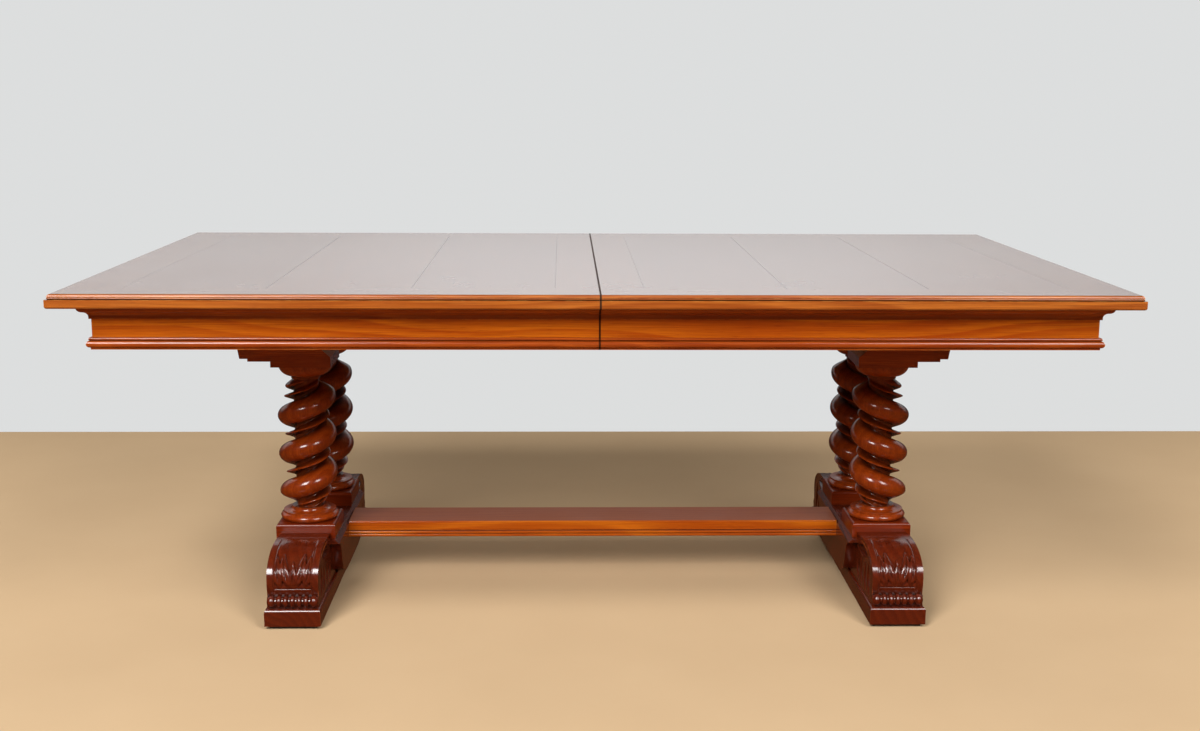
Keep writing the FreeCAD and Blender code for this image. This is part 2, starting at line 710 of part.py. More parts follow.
def front_runner(outer):
    """Runner of the left half: a tongue in the rail's groove, lower past the joint."""
    low, high = runner_sides(outer)
    start = -HALF_LENGTH + APRON_INSET + APRON_THICKNESS
    bar = box(start, RUNNER_PAST_JOINT, low, high, RUNNER_BOTTOM, BATTEN_BOTTOM)
    lowered = BATTEN_BOTTOM - RUNNER_STEP
    step = box(-RUNNER_STEP_LENGTH, RUNNER_PAST_JOINT, low, high, lowered, BATTEN_BOTTOM)
    reach = GROOVE_DEPTH - SLIDE_GAP
    tongue_low = GROOVE_MIDDLE - GROOVE_HEIGHT / 2 + SLIDE_GAP
    tongue_high = GROOVE_MIDDLE + GROOVE_HEIGHT / 2 - SLIDE_GAP
    if outer:
        tongue = box(start, RUNNER_PAST_JOINT, high, high + reach, tongue_low, tongue_high)
    else:
        tongue = box(start, RUNNER_PAST_JOINT, low - reach, low, tongue_low, tongue_high)
    return one_solid(bar.cut(step).fuse(tongue).removeSplitter())


def runner_stop(outer):
    """Block under a left half's front runner that meets the rail's stop when fully out."""
    low, high = runner_sides(outer)
    face_x = STOP_LENGTH + STOP_GAP + TRAVEL
    return box(face_x, face_x + STOP_LENGTH, low + STOP_INSET, high - STOP_INSET,
               RUNNER_BOTTOM - STOP_HEIGHT, RUNNER_BOTTOM)


def guide_stop(outer):
    """Block under the front rail that stops a left half's runner."""
    low, high = runner_sides(outer)
    y0, y1 = (low, -RAIL_Y) if outer else (-RAIL_Y, high)
    return box(0, STOP_LENGTH, y0, y1, BEARER_TOP - STOP_HEIGHT, BEARER_TOP)


def battens():
    reach = HALF_WIDTH - APRON_INSET - APRON_THICKNESS - BATTEN_END_GAP
    half = BATTEN_WIDTH / 2
    first = -BATTEN_FROM_JOINT
    last = -HALF_LENGTH + BATTEN_FROM_END
    middles = (first, (first + last) / 2, last)
    return [box(x - half, x + half, -reach, reach, BATTEN_BOTTOM, SLAB_BOTTOM) for x in middles]


# The left half of the top

def end_stile():
    inner = HALF_WIDTH - FRAME_WIDTH
    strip = box(-HALF_LENGTH + FRAME_WIDTH, -HALF_LENGTH + END_STILE_WIDTH,
                -inner, inner, SLAB_BOTTOM, TOP_HEIGHT)
    return one_solid(border_strip("end", *slab_section()).fuse(strip).removeSplitter())


def joint_stile(hole_depth, gap):
    """Stile at the middle joint with holes for the dowels."""
    inner = HALF_WIDTH - FRAME_WIDTH
    stile = box(-JOINT_STILE_WIDTH, 0, -inner, inner, SLAB_BOTTOM, TOP_HEIGHT)
    return one_solid(stile.cut([dowel(-hole_depth, 0, y, gap) for y in dowel_rows()]))


def dowel_rows():
    return (-DOWEL_SPACING, 0, DOWEL_SPACING)


def dowel(x0, x1, y, gap):
    middle = (TOP_HEIGHT + SLAB_BOTTOM) / 2
    return rod(DOWEL_RADIUS + gap, x1 - x0, V(x0, y, middle), V(1, 0, 0))


def top_boards():
    inner = HALF_WIDTH - FRAME_WIDTH
    start = -HALF_LENGTH + END_STILE_WIDTH
    width = (-JOINT_STILE_WIDTH - start) / BOARDS_PER_HALF
    return [box(start + n * width, start + (n + 1) * width, -inner, inner, SLAB_BOTTOM, TOP_HEIGHT)
            for n in range(BOARDS_PER_HALF)]


def save_half(side, turn_over, outer_runner, stile):
    """Write every piece of one half. turn_over takes a left piece to this side."""
    rails = border_strips(*slab_section())
    aprons = border_strips(*apron_section())
    runner = front_runner(outer_runner)
    stop = runner_stop(outer_runner)
    pieces = {
        "front_rail": [rails[0]],
        "back_rail": [rails[2]],
        "end_stile": [end_stile()],
        "joint_stile": [stile],
        "top_boards": top_boards(),
        "front_apron": [aprons[0]],
        "end_apron": [aprons[1]],
        "back_apron": [aprons[2]],
        "cornice": border_strips(*cornice_section()),
        "skirt_moulding": border_strips(*skirt_section()),
        "front_runner": [runner],
        "back_runner": [front_to_back(runner)],
        "runner_stops": [stop, front_to_back(stop)],
        "battens": battens(),
    }
    for name, solids in pieces.items():
        save(side + "_" + name, *[turn_over(s) for s in solids])


def save_base():
    """Write every piece that stays on the floor."""
    to_left = V(-TRESTLE_X, 0, 0)
    one_column = column()
    one_block = column_block()
    one_abacus = abacus()
    one_corbel = corbel()
    left_pads = [pad.translated(to_left) for pad in floor_pads()]
    save("floor_pads", *left_pads, *[left_to_right(pad) for pad in left_pads])
    for name, piece in (("plinth", plinth()), ("foot", foot()), ("cheek", cheek())):
        left = piece.translated(to_left)
        save("left_" + name, left)
        save("right_" + name, left_to_right(left))
    save("left_bearer", left_bearer())
    save("right_bearer", left_to_right(left_bearer()))
    stack = (("block", one_block), ("column", one_column), ("abacus", one_abacus), ("corbel", one_corbel))
    for end, y in (("front", -COLUMN_Y), ("back", COLUMN_Y)):
        for name, piece in stack:
            left = piece.translated(V(-TRESTLE_X, y, 0))
            save("left_" + end + "_" + name, left)
            save("right_" + end + "_" + name, left_to_right(left))
    save("stretcher", stretcher())
    save("stretcher_pegs", *stretcher_pegs(0))
    save("front_guide_rail", front_guide_rail())
    save("back_guide_rail", front_to_back(front_guide_rail()))
    save("rail_screws", *screws())
    left_stop = guide_stop(True)
    right_stop = left_to_right(guide_stop(False))
    save("guide_stops", left_stop, right_stop, front_to_back(left_stop), front_to_back(right_stop))


save_base()
left_stile = joint_stile(DOWEL_BURIED_LENGTH, PEG_GAP)
right_stile = joint_stile(DOWEL_OUT_LENGTH + END_GAP, SLIDE_GAP)
save_half("left", lambda solid: solid, True, left_stile)
save_half("right", left_to_right, False, right_stile)
save("joint_dowels", *[dowel(-DOWEL_BURIED_LENGTH, DOWEL_OUT_LENGTH, y, 0) for y in dowel_rows()])
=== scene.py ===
# %% [markdown]
# # An extending dining table
#
# The table has a framed top in two halves that slide apart, and a base of two trestles with
# twisted columns and carved feet. The measured solids come in as a fixed frame. This lesson
# gives them their looks: it models what carving and turning add, and it finishes every piece
# with wood that is made from nodes alone.

import math

import bmesh
import bpy
import numpy as np
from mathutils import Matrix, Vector
from mathutils.geometry import interpolate_bezier


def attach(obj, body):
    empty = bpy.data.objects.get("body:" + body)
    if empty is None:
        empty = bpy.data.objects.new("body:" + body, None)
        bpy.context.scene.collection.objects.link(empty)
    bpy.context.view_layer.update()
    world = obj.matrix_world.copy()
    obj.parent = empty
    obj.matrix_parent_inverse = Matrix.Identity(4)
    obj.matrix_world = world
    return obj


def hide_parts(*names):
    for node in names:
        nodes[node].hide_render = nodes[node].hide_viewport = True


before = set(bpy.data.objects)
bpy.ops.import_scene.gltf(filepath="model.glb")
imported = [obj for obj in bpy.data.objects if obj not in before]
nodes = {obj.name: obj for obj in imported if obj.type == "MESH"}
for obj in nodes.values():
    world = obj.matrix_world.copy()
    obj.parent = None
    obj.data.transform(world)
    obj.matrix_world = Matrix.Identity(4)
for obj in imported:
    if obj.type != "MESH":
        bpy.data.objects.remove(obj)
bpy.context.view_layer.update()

# %% [markdown]
# ## Small helpers for node trees
#
# Shader trees and geometry trees are wired in the same way, so the same helpers serve both. A
# plain number is written on a socket, and a node's output is linked to it. Further helpers add
# one step of arithmetic, stretch a range, mix two colours, make noise or start a group.

# %% Add nodes and arithmetic
FLOAT = "NodeSocketFloat"
VECTOR = "NodeSocketVector"
COLOUR = "NodeSocketColor"


def plug(tree, socket, value):
    """Links an output to a socket, or writes a number, vector or colour on it."""
    if isinstance(value, bpy.types.NodeSocket):
        tree.links.new(value, socket)
    else:
        socket.default_value = value


def feed(tree, node, inputs):
    """Feeds a node's inputs by name or number."""
    for name, value in inputs.items():
        plug(tree, node.inputs[name], value)


def add(tree, kind, inputs=None, **settings):
    """Adds a node, sets its options and feeds its inputs."""
    node = tree.nodes.new(kind)
    for name, value in settings.items():
        setattr(node, name, value)
    feed(tree, node, inputs or {})
    return node


def maths(tree, operation, *values, kind="ShaderNodeMath"):
    """Adds one step of arithmetic and returns its result."""
    return add(tree, kind, dict(enumerate(values)), operation=operation).outputs[0]


def vector_maths(tree, operation, *values):
    """Adds one step of vector arithmetic and returns its vector result."""
    return maths(tree, operation, *values, kind="ShaderNodeVectorMath")


def times(tree, first, second):
    """The product of two values."""
    return maths(tree, "MULTIPLY", first, second)


def remap(tree, value, low, high, to_low=0.0, to_high=1.0, smooth=False):
    """Stretches a value from one range to another and holds it inside."""
    node = add(tree, "ShaderNodeMapRange", {0: value, 1: low, 2: high, 3: to_low, 4: to_high})
    if smooth:
        node.interpolation_type = "SMOOTHSTEP"
    return node.outputs[0]


def blend(tree, share, first, second):
    """Mixes two colours and returns the result."""
    inputs = {"Factor": share, 6: first, 7: second}
    return add(tree, "ShaderNodeMix", inputs, data_type="RGBA").outputs[2]


def split(tree, vector):
    """The X, Y and Z of a vector."""
    return add(tree, "ShaderNodeSeparateXYZ", {0: vector}).outputs


def noise(tree, where, scale, detail):
    """Soft noise from 0 to 1 with about that many features a metre."""
    node = add(tree, "ShaderNodeTexNoise", {"Vector": where, "Scale": scale, "Detail": detail})
    return node.outputs["Fac"]


def new_group(name, inputs, outputs, kind="ShaderNodeTree"):
    """Starts a node group with named sockets and returns it with its two ends."""
    tree = bpy.data.node_groups.new(name, kind)
    for label, socket, value in inputs:
        made = tree.interface.new_socket(label, in_out="INPUT", socket_type=socket)
        if value is not None:
            made.default_value = value
    for label, socket in outputs:
        tree.interface.new_socket(label, in_out="OUTPUT", socket_type=socket)
    start = tree.nodes.new("NodeGroupInput").outputs
    end = tree.nodes.new("NodeGroupOutput").inputs
    return tree, start, end


print("helpers ready")

# %% [markdown]
# ## Wood figure
#
# Sawn wood shows three things at three sizes: bands of growth rings, fine fibres and short
# dark pores, all drawn out along the grain. A photograph of wood would repeat and stretch.
# Noise that is squeezed across the grain gives all three at their true size, so the group
# takes a place in metres whose X runs along the grain.

# %% Group for rings, fibres and pores
SEED_STEP = (3.7, 1.9, 2.3)
RING_PEAK = 0.86
SLANT = 0.6

figure, given, result = new_group(
    "wood_figure",
    [("Place", VECTOR, None)] + [(label, FLOAT, None) for label in ("Seed", "Ring Width", "Wander")],
    [("Rings", FLOAT), ("Fibres", FLOAT), ("Pores", FLOAT), ("Clouds", FLOAT)],
)
shift = vector_maths(figure, "SCALE", SEED_STEP)
plug(figure, shift.node.inputs["Scale"], given["Seed"])
place = vector_maths(figure, "ADD", given["Place"], shift)


def stretched_noise(tree, where, along, across, detail):
    """Noise with that many features a metre along the grain and across it."""
    squeezed = vector_maths(tree, "MULTIPLY", where, (along, across, across))
    return noise(tree, squeezed, 1.0, detail)


slow = stretched_noise(figure, place, along=0.9, across=5.0, detail=2.0)
parts = split(figure, place)
across = maths(figure, "ADD", parts["Y"], times(figure, parts["Z"], SLANT))
count = maths(figure, "DIVIDE", across, given["Ring Width"])
waves = times(figure, given["Wander"], 4.0)
tooth = maths(figure, "FRACT", maths(figure, "MULTIPLY_ADD", slow, waves, count))
rise = remap(figure, tooth, 0.0, RING_PEAK, smooth=True)
fall = remap(figure, tooth, RING_PEAK, 1.0, 1.0, 0.0, smooth=True)
plug(figure, result["Rings"], times(figure, rise, fall))
fibres = stretched_noise(figure, place, along=8.0, across=420.0, detail=4.0)
plug(figure, result["Fibres"], remap(figure, fibres, 0.3, 0.7))
pores = stretched_noise(figure, place, along=36.0, across=1300.0, detail=1.0)
plug(figure, result["Pores"], remap(figure, pores, 0.62, 0.72))
clouds = stretched_noise(figure, place, along=2.2, across=9.0, detail=3.0)
plug(figure, result["Clouds"], remap(figure, clouds, 0.3, 0.7))
print("group", figure.name, "with", len(figure.nodes), "nodes")

# %% [markdown]
# ## Wear, stain and painted shade
#
# On an old table the polish is rubbed thin along sharp edges, and stain and dust stay dark in
# the hollows, and the darkening there is also painted shade. The shader's bevel node shows where
# an edge is near, because the rounded normal leaves the flat one there. Ambient occlusion finds
# the hollows. Patchy noise breaks up the worn edges and smears the gloss.

# %% Group for worn edges and hollows darkened by stain and painted shade
LEVEL = 0.97
STEEP = 0.8

wear, given, result = new_group(
    "wear_and_stain",
    [("Place", VECTOR, None), ("Edge Radius", FLOAT, 0.002), ("Hollow Depth", FLOAT, 0.02)],
    [("Edges", FLOAT), ("Hollows", FLOAT), ("Smears", FLOAT)],
)
rounded = add(wear, "ShaderNodeBevel", {"Radius": given["Edge Radius"]}, samples=4).outputs[0]
flat = add(wear, "ShaderNodeNewGeometry").outputs["Normal"]
turning = add(wear, "ShaderNodeVectorMath", {0: rounded, 1: flat}, operation="DOT_PRODUCT")
sharp = remap(wear, turning.outputs["Value"], LEVEL, STEEP)
reach = {"Distance": given["Hollow Depth"]}
openness = add(wear, "ShaderNodeAmbientOcclusion", reach, samples=6, only_local=True)
hollow = remap(wear, openness.outputs["AO"], 0.9, 0.35)
rubbed = remap(wear, noise(wear, given["Place"], 34.0, 4.0), 0.42, 0.66)
outside = maths(wear, "SUBTRACT", 1.0, hollow)
plug(wear, result["Edges"], times(wear, times(wear, sharp, rubbed), outside))
plug(wear, result["Hollows"], hollow)
plug(wear, result["Smears"], remap(wear, noise(wear, given["Place"], 9.0, 5.0), 0.3, 0.72))
print("group", wear.name, "with", len(wear.nodes), "nodes")

# %% [markdown]
# ## Polished wood
#
# Every polished piece mixes the same things: a dark, a middle and a light wood colour by rings
# and fibres, darker pores, lighter worn edges, and hollows darkened by stain and painted shade.
# One group does the mixing, and each finish only chooses colours and amounts. Gloss stays in the
# material's own shader.

# %% Group that mixes colour, roughness and height
SOOT_AND_SHADE = (0.004, 0.002, 0.001, 1)

polish, given, result = new_group(
    "polished_wood",
    [("Place", VECTOR, None)]
    + [(label, FLOAT, None) for label in ("Seed", "Ring Width", "Wander", "Wear", "Stain", "Matt")]
    + [(label, COLOUR, None) for label in ("Dark", "Middle", "Light", "Worn")],
    [("Colour", COLOUR), ("Roughness", FLOAT), ("Height", FLOAT)],
)
passed_on = {label: given[label] for label in ("Place", "Seed", "Ring Width", "Wander")}
wood = add(polish, "ShaderNodeGroup", passed_on, node_tree=figure).outputs
age = add(polish, "ShaderNodeGroup", {"Place": given["Place"]}, node_tree=wear).outputs
bands = maths(polish, "MULTIPLY_ADD", wood["Rings"], 0.6, times(polish, wood["Clouds"], 0.4))
body = blend(polish, bands, given["Light"], given["Middle"])
body = blend(polish, times(polish, wood["Fibres"], 0.55), body, given["Dark"])
body = blend(polish, times(polish, wood["Pores"], 0.5), body, given["Dark"])
# Hollows are mixed towards near-black soot: stain that collects there, and painted shade.
hollow_stain_and_shade = times(polish, age["Hollows"], given["Stain"])
body = blend(polish, hollow_stain_and_shade, body, blend(polish, 0.75, given["Dark"], SOOT_AND_SHADE))
rubbed = times(polish, age["Edges"], given["Wear"])
plug(polish, result["Colour"], blend(polish, rubbed, body, given["Worn"]))
matt = maths(polish, "MULTIPLY_ADD", age["Smears"], 0.12, given["Matt"])
plug(polish, result["Roughness"], maths(polish, "MULTIPLY_ADD", wood["Pores"], 0.15, matt))
grooves = maths(polish, "MULTIPLY_ADD", wood["Fibres"], -0.3, 1.0)
plug(polish, result["Height"], maths(polish, "MULTIPLY_ADD", wood["Pores"], -0.7, grooves))
print("group", polish.name, "with", len(polish.nodes), "nodes")

# %% [markdown]
# ## Which way the grain runs
#
# Wood pieces are cut with the grain along their length. Every solid has its place in its mesh,
# so Object coordinates are the table's own, and turning them by a quarter lays the grain along
# Y or Z. A moulding that goes round three sides is three mitred strips: there the nearer edge
# of the top decides which way the grain runs.

# %% Quarter turns and the mitre rule
HALF_LENGTH = 1.045
HALF_WIDTH = 0.59
QUARTER = math.pi / 2
TURNS = {"x": (0, 0, 0), "y": (0, 0, QUARTER), "z": (0, QUARTER, 0)}


def from_edges(tree, spot):
    """How far a place lies inside the top's end and inside its long side."""
    from_end = maths(tree, "SUBTRACT", HALF_LENGTH, maths(tree, "ABSOLUTE", spot["X"]))
    from_side = maths(tree, "SUBTRACT", HALF_WIDTH, maths(tree, "ABSOLUTE", spot["Y"]))
    return from_end, from_side


def turned(tree, place, direction):
    """The place, turned so that X runs along the grain."""
    turn = {"Vector": place, "Rotation": TURNS[direction]}
    return add(tree, "ShaderNodeMapping", turn).outputs[0]


mitre, given, result = new_group("mitred_strips", [("Place", VECTOR, None)], [("Place", VECTOR)])
at_end = maths(mitre, "LESS_THAN", *from_edges(mitre, split(mitre, given["Place"])))
choice = {"Factor": at_end, 4: given["Place"], 5: turned(mitre, given["Place"], "y")}
chosen = add(mitre, "ShaderNodeMix", choice, data_type="VECTOR").outputs[1]
plug(mitre, result["Place"], chosen)


def object_place(tree):
    """The place of a point in the table's own metres."""
    return add(tree, "ShaderNodeTexCoord").outputs["Object"]


def grain_place(tree, direction):
    """Object coordinates, turned so that X runs along the grain."""
    place = object_place(tree)
    if direction == "mitre":
        return add(tree, "ShaderNodeGroup", {"Place": place}, node_tree=mitre).outputs["Place"]
    return turned(tree, place, direction)


print("grain along", ", ".join(TURNS), "or by mitre")

# %% [markdown]
# ## The finishes
#
# Six polishes show: a deep red-brown on the feet, redder ones on blocks and columns, amber on
# the aprons and the stretcher, a browner amber on the mouldings, and brown on the top, whose
# rim is a yellower moulding. A recipe holds what the mixing group needs. Over the wood lies a
# clear hard film, so each finish also says how its coat shines.

# %% Recipes for the polishes
RECIPES = {
    "foot": {
        "Ring Width": 0.02, "Wander": 1.6, "Wear": 0.4, "Stain": 0.85, "Matt": 0.3,
        "Dark": (0.018, 0.0022, 0.0008, 1), "Middle": (0.062, 0.007, 0.0018, 1),
        "Light": (0.1, 0.012, 0.0025, 1), "Worn": (0.26, 0.06, 0.015, 1),
    },
    "block": {
        "Ring Width": 0.02, "Wander": 1.6, "Wear": 0.35, "Stain": 0.8, "Matt": 0.3,
        "Dark": (0.035, 0.0035, 0.0008, 1), "Middle": (0.115, 0.011, 0.001, 1),
        "Light": (0.175, 0.019, 0.0015, 1), "Worn": (0.3, 0.07, 0.015, 1),
    },
    "column": {
        "Ring Width": 0.022, "Wander": 1.6, "Wear": 0.35, "Stain": 0.8, "Matt": 0.3,
        "Dark": (0.055, 0.005, 0.001, 1), "Middle": (0.2, 0.024, 0.0015, 1),
        "Light": (0.29, 0.042, 0.003, 1), "Worn": (0.36, 0.085, 0.015, 1),
    },
    "apron": {
        "Ring Width": 0.022, "Wander": 2.6, "Wear": 0.6, "Stain": 0.85, "Matt": 0.34,
        "Dark": (0.17, 0.018, 0.0008, 1), "Middle": (0.35, 0.053, 0.0018, 1),
        "Light": (0.55, 0.135, 0.005, 1), "Worn": (0.6, 0.3, 0.07, 1),
    },
    "moulding": {
        "Ring Width": 0.018, "Wander": 2.6, "Wear": 0.7, "Stain": 0.85, "Matt": 0.34,
        "Dark": (0.1, 0.011, 0.001, 1), "Middle": (0.215, 0.031, 0.003, 1),
        "Light": (0.33, 0.063, 0.006, 1), "Worn": (0.6, 0.3, 0.07, 1),
    },
    "top": {
        "Ring Width": 0.026, "Wander": 2.2, "Wear": 0.8, "Stain": 0.8, "Matt": 0.3,
        "Dark": (0.04, 0.009, 0.002, 1), "Middle": (0.085, 0.022, 0.0045, 1),
        "Light": (0.12, 0.036, 0.008, 1), "Worn": (0.56, 0.28, 0.08, 1),
    },
}
RECIPES["rim"] = {
    **RECIPES["moulding"],
    "Dark": (0.1, 0.015, 0.0015, 1), "Middle": (0.22, 0.047, 0.005, 1), "Light": (0.34, 0.1, 0.013, 1),
}
# Weight and roughness of the coat, depth of the grain, and the wood's own gloss below the coat
GLOSS = {
    "foot": (1.0, 0.14, 0.3, 0.04),
    "block": (0.4, 0.2, 0.25, 0.04),
    "column": (0.9, 0.17, 0.25, 0.04),
    "apron": (0.9, 0.13, 0.3, 0.03),
    "moulding": (0.7, 0.15, 0.3, 0.03),
    "top": (1.0, 0.16, 0.05, 0.15),
}
RIM_COAT = 0.3
print("recipes:", ", ".join(RECIPES))

# %% [markdown]
# One function makes every polished wood from its recipe. The rim of the top is told from its
# level face by the direction of the surface. Where the halves meet, a narrow mask paints their
# edges nearly black as a painted shadow of the gap, and takes the gloss away. Pieces that end at
# the joint are only worn along the table's outer edges, because hands and chairs don't reach the joint.

# %% Function that makes a polished wood
GAP_SHADE_AND_SEAM_DARK = (0.01, 0.004, 0.002, 1)
GAP_SHADE_SHARE = 0.95
JOINT_LINE = 0.0013
OUTER_EDGE = {"top": 0.014, "apron": 0.08, "moulding": 0.08}
GRAIN_HEIGHT = 0.0002


def start_material(name):
    """A new material with its tree and its shader."""
    material = bpy.data.materials.new(name)
    material.use_nodes = True
    return material, material.node_tree, material.node_tree.nodes["Principled BSDF"]


def upness(tree):
    """How much a surface faces up: 1 on a level face, 0 on an upright one."""
    return split(tree, add(tree, "ShaderNodeNewGeometry").outputs["Normal"])["Z"]


def wood_material(name, finish, direction, jointed=False, rimmed=False):
    """A polished wood with its grain along one direction, with a painted gap shadow at the joint or a
    rim if asked.
    """
    material, tree, shader = start_material(name)
    mixed = add(tree, "ShaderNodeGroup", RECIPES[finish], node_tree=polish)
    place = grain_place(tree, direction)
    plug(tree, mixed.inputs["Place"], place)
    colour = mixed.outputs["Colour"]
    rough = mixed.outputs["Roughness"]
    coat, coat_rough, grain_depth, sheen = GLOSS[finish]
    if rimmed:
        edge = add(tree, "ShaderNodeGroup", RECIPES["rim"], node_tree=polish)
        plug(tree, edge.inputs["Place"], place)
        rim = remap(tree, upness(tree), LEVEL, STEEP)
        colour = blend(tree, rim, colour, edge.outputs["Colour"])
        coat = remap(tree, rim, 0, 1, coat, RIM_COAT)
    if jointed:
        spot = split(tree, object_place(tree))
        out = maths(tree, "ABSOLUTE", spot["X"])
        # A narrow band on each side of the joint goes nearly black and loses its gloss: painted shadow
        # of the gap between the halves.
        gap_shade = remap(tree, out, JOINT_LINE, 2 * JOINT_LINE, GAP_SHADE_SHARE, 0.0)
        colour = blend(tree, gap_shade, colour, GAP_SHADE_AND_SEAM_DARK)
        rough = maths(tree, "MAXIMUM", rough, gap_shade)
        coat = times(tree, coat, remap(tree, gap_shade, 0, GAP_SHADE_SHARE, 1.0, 0.0))
        inside = maths(tree, "MINIMUM", *from_edges(tree, spot))
        edge_width = OUTER_EDGE[finish]
        worn = remap(tree, inside, edge_width, 1.3 * edge_width, RECIPES[finish]["Wear"], 0.0)
        plug(tree, mixed.inputs["Wear"], worn)
    grain = {"Height": mixed.outputs["Height"], "Distance": GRAIN_HEIGHT, "Strength": grain_depth}
    bump = add(tree, "ShaderNodeBump", grain).outputs[0]
    feed(tree, shader, {"Base Color": colour, "Roughness": rough, "Coat Weight": coat, "Normal": bump})
    feed(tree, shader, {"Coat Roughness": coat_rough, "Specular IOR Level": sheen})
    return material


woods = {}
for finish, directions in (
    ("foot", "y"), ("block", "x"), ("column", "xz"), ("apron", "xy"), ("top", "xy"),
    ("moulding", ["mitre"]),
):
    for direction in directions:
        jointed = finish in OUTER_EDGE
        name = f"{finish}_grain_{direction}" + ("_jointed" if jointed else "")
        woods[finish, direction] = wood_material(name, finish, direction, jointed, finish == "top")
print("woods:", len(woods))

# %% [markdown]
# People rest their feet on the stretcher, so the polish on its upper face has turned dark and
# dull, and the darker colour there is also painted shade under the top. The surface's own direction
# tells the upper face from the moulded edges.

# %% Material for the stretcher
TRODDEN_AND_SHADED = (0.18, 0.055, 0.027, 1)


def opened(material):
    """A polished wood's tree, its shader and the node that mixes its colour."""
    tree = material.node_tree
    mixed = next(node for node in tree.nodes if node.type == "GROUP")
    return tree, tree.nodes["Principled BSDF"], mixed


stretcher_wood = wood_material("stretcher_wood", "apron", "x")
tree, shader, mixed = opened(stretcher_wood)
upper = remap(tree, upness(tree), 0.7, LEVEL)
# The upper face is mixed towards a dull brown: wear from feet, and painted shade under the top.
rubbed = blend(tree, 0.8, mixed.outputs["Colour"], TRODDEN_AND_SHADED)
colour = blend(tree, upper, mixed.outputs["Colour"], rubbed)
dull = maths(tree, "MULTIPLY_ADD", upper, 0.2, mixed.outputs["Roughness"])
thin = remap(tree, upper, 0, 1, 1.0, 0.3)
feed(tree, shader, {"Base Color": colour, "Roughness": dull, "Coat Weight": thin})
woods["stretcher", "x"] = stretcher_wood
print("stretcher's upper face is worn and painted dark")

# %% [markdown]
# ## Boards of the top
#
# Each half of the top has three wide boards, and no two boards come from the same spot of a
# tree. The board's number, counted from the middle joint, moves the figure to another place
# and shifts its tone a little. A thin dark line marks each seam.

# %% Material for the boards
JOINT_STILE = 0.086
END_STILE = 0.118
BOARDS = 3
BOARD_WIDTH = (HALF_LENGTH - END_STILE - JOINT_STILE) / BOARDS
SEAM = 0.0009
SEAM_SHARE = 0.7
SEAM_COAT = 0.75
DEEP_BROWN = (0.055, 0.013, 0.003, 1)

boards = wood_material("top_boards", "top", "y")
tree, shader, mixed = opened(boards)
mixed.inputs["Wear"].default_value = 0.0
across = split(tree, object_place(tree))["X"]
out = maths(tree, "SUBTRACT", maths(tree, "ABSOLUTE", across), JOINT_STILE)
number = maths(tree, "DIVIDE", out, BOARD_WIDTH)
whole = maths(tree, "FLOOR", number)
sided = maths(tree, "MULTIPLY_ADD", maths(tree, "SIGN", across), 3.3, whole)
plug(tree, mixed.inputs["Seed"], times(tree, sided, 1.7))
tone = add(tree, "ShaderNodeTexWhiteNoise", {"W": sided}, noise_dimensions="1D").outputs["Value"]
toned = blend(tree, remap(tree, tone, 0, 1, 0, 0.4), mixed.outputs["Colour"], DEEP_BROWN)
part = maths(tree, "FRACT", number)
near = maths(tree, "MINIMUM", part, maths(tree, "SUBTRACT", 1.0, part))
seam = remap(tree, near, SEAM / BOARD_WIDTH, 2 * SEAM / BOARD_WIDTH, SEAM_SHARE, 0)
seam_coat = remap(tree, seam, 0, SEAM_SHARE, GLOSS["top"][0], SEAM_COAT)
feed(tree, shader, {"Base Color": blend(tree, seam, toned, GAP_SHADE_AND_SEAM_DARK), "Coat Weight": seam_coat})
print("boards are", round(BOARD_WIDTH * 1000), "mm wide")

# %% [markdown]
# ## Plain wood, pads and steel
#
# Under the top there are bearers, rails, runners and battens of plain pale wood that was only
# planed. The saw left faint cross marks, which a wave texture gives. The floor pads are dark
# wood dulled by the floor, and the screws are blued steel with brushed streaks.

# %% Materials under the top
DUST_AND_SHADE = (0.05, 0.03, 0.015, 1)
PALE = (0.5, 0.33, 0.17, 1)
DEEP = (0.3, 0.17, 0.075, 1)


def plain_wood(name, direction, pale=PALE, deep=DEEP):
    """Planed wood without polish, with faint saw marks across the grain."""
    material, tree, shader = start_material(name)
    place = grain_place(tree, direction)
    rings = {"Place": place, "Ring Width": 0.009, "Wander": 1.5}
    wood = add(tree, "ShaderNodeGroup", rings, node_tree=figure).outputs
    age = add(tree, "ShaderNodeGroup", {"Place": place}, node_tree=wear).outputs
    share = maths(tree, "MULTIPLY_ADD", wood["Rings"], 0.6, times(tree, wood["Fibres"], 0.3))
    colour = blend(tree, share, pale, deep)
    # Hollows are mixed towards a dark dust colour: dust, and painted shade.
    colour = blend(tree, times(tree, age["Hollows"], 0.5), colour, DUST_AND_SHADE)
    rough = remap(tree, age["Smears"], 0, 1, 0.55, 0.75)
    marks = {"Vector": place, "Scale": 60.0, "Distortion": 2.0}
    saw = add(tree, "ShaderNodeTexWave", marks, bands_direction="X").outputs["Fac"]
    height = maths(tree, "MULTIPLY_ADD", saw, 0.4, wood["Fibres"])
    bump = add(tree, "ShaderNodeBump", {"Height": height, "Distance": 0.0003, "Strength": 0.4})
    feed(tree, shader, {"Base Color": colour, "Roughness": rough, "Normal": bump.outputs[0]})
    return material


frame_x = plain_wood("frame_wood_x", "x")
frame_y = plain_wood("frame_wood_y", "y")
frame_z = plain_wood("frame_wood_z", "z")
pads = plain_wood("pad_wood", "y", (0.06, 0.035, 0.02, 1), (0.02, 0.012, 0.008, 1))

steel, tree, shader = start_material("screw_steel")
streaks = stretched_noise(tree, object_place(tree), along=90.0, across=900.0, detail=3.0)
brushed = blend(tree, streaks, (0.16, 0.16, 0.17, 1), (0.4, 0.39, 0.38, 1))
rough = remap(tree, streaks, 0.3, 0.7, 0.25, 0.5)
feed(tree, shader, {"Base Color": brushed, "Roughness": rough, "Metallic": 1.0})
print("plain woods and steel ready")

# %% [markdown]
# ## Finishing the solids
#
# Most solids keep their shape and only change their material. A solid's name says what it is,
# so a short list of name endings gives each its finish and the direction of its grain.

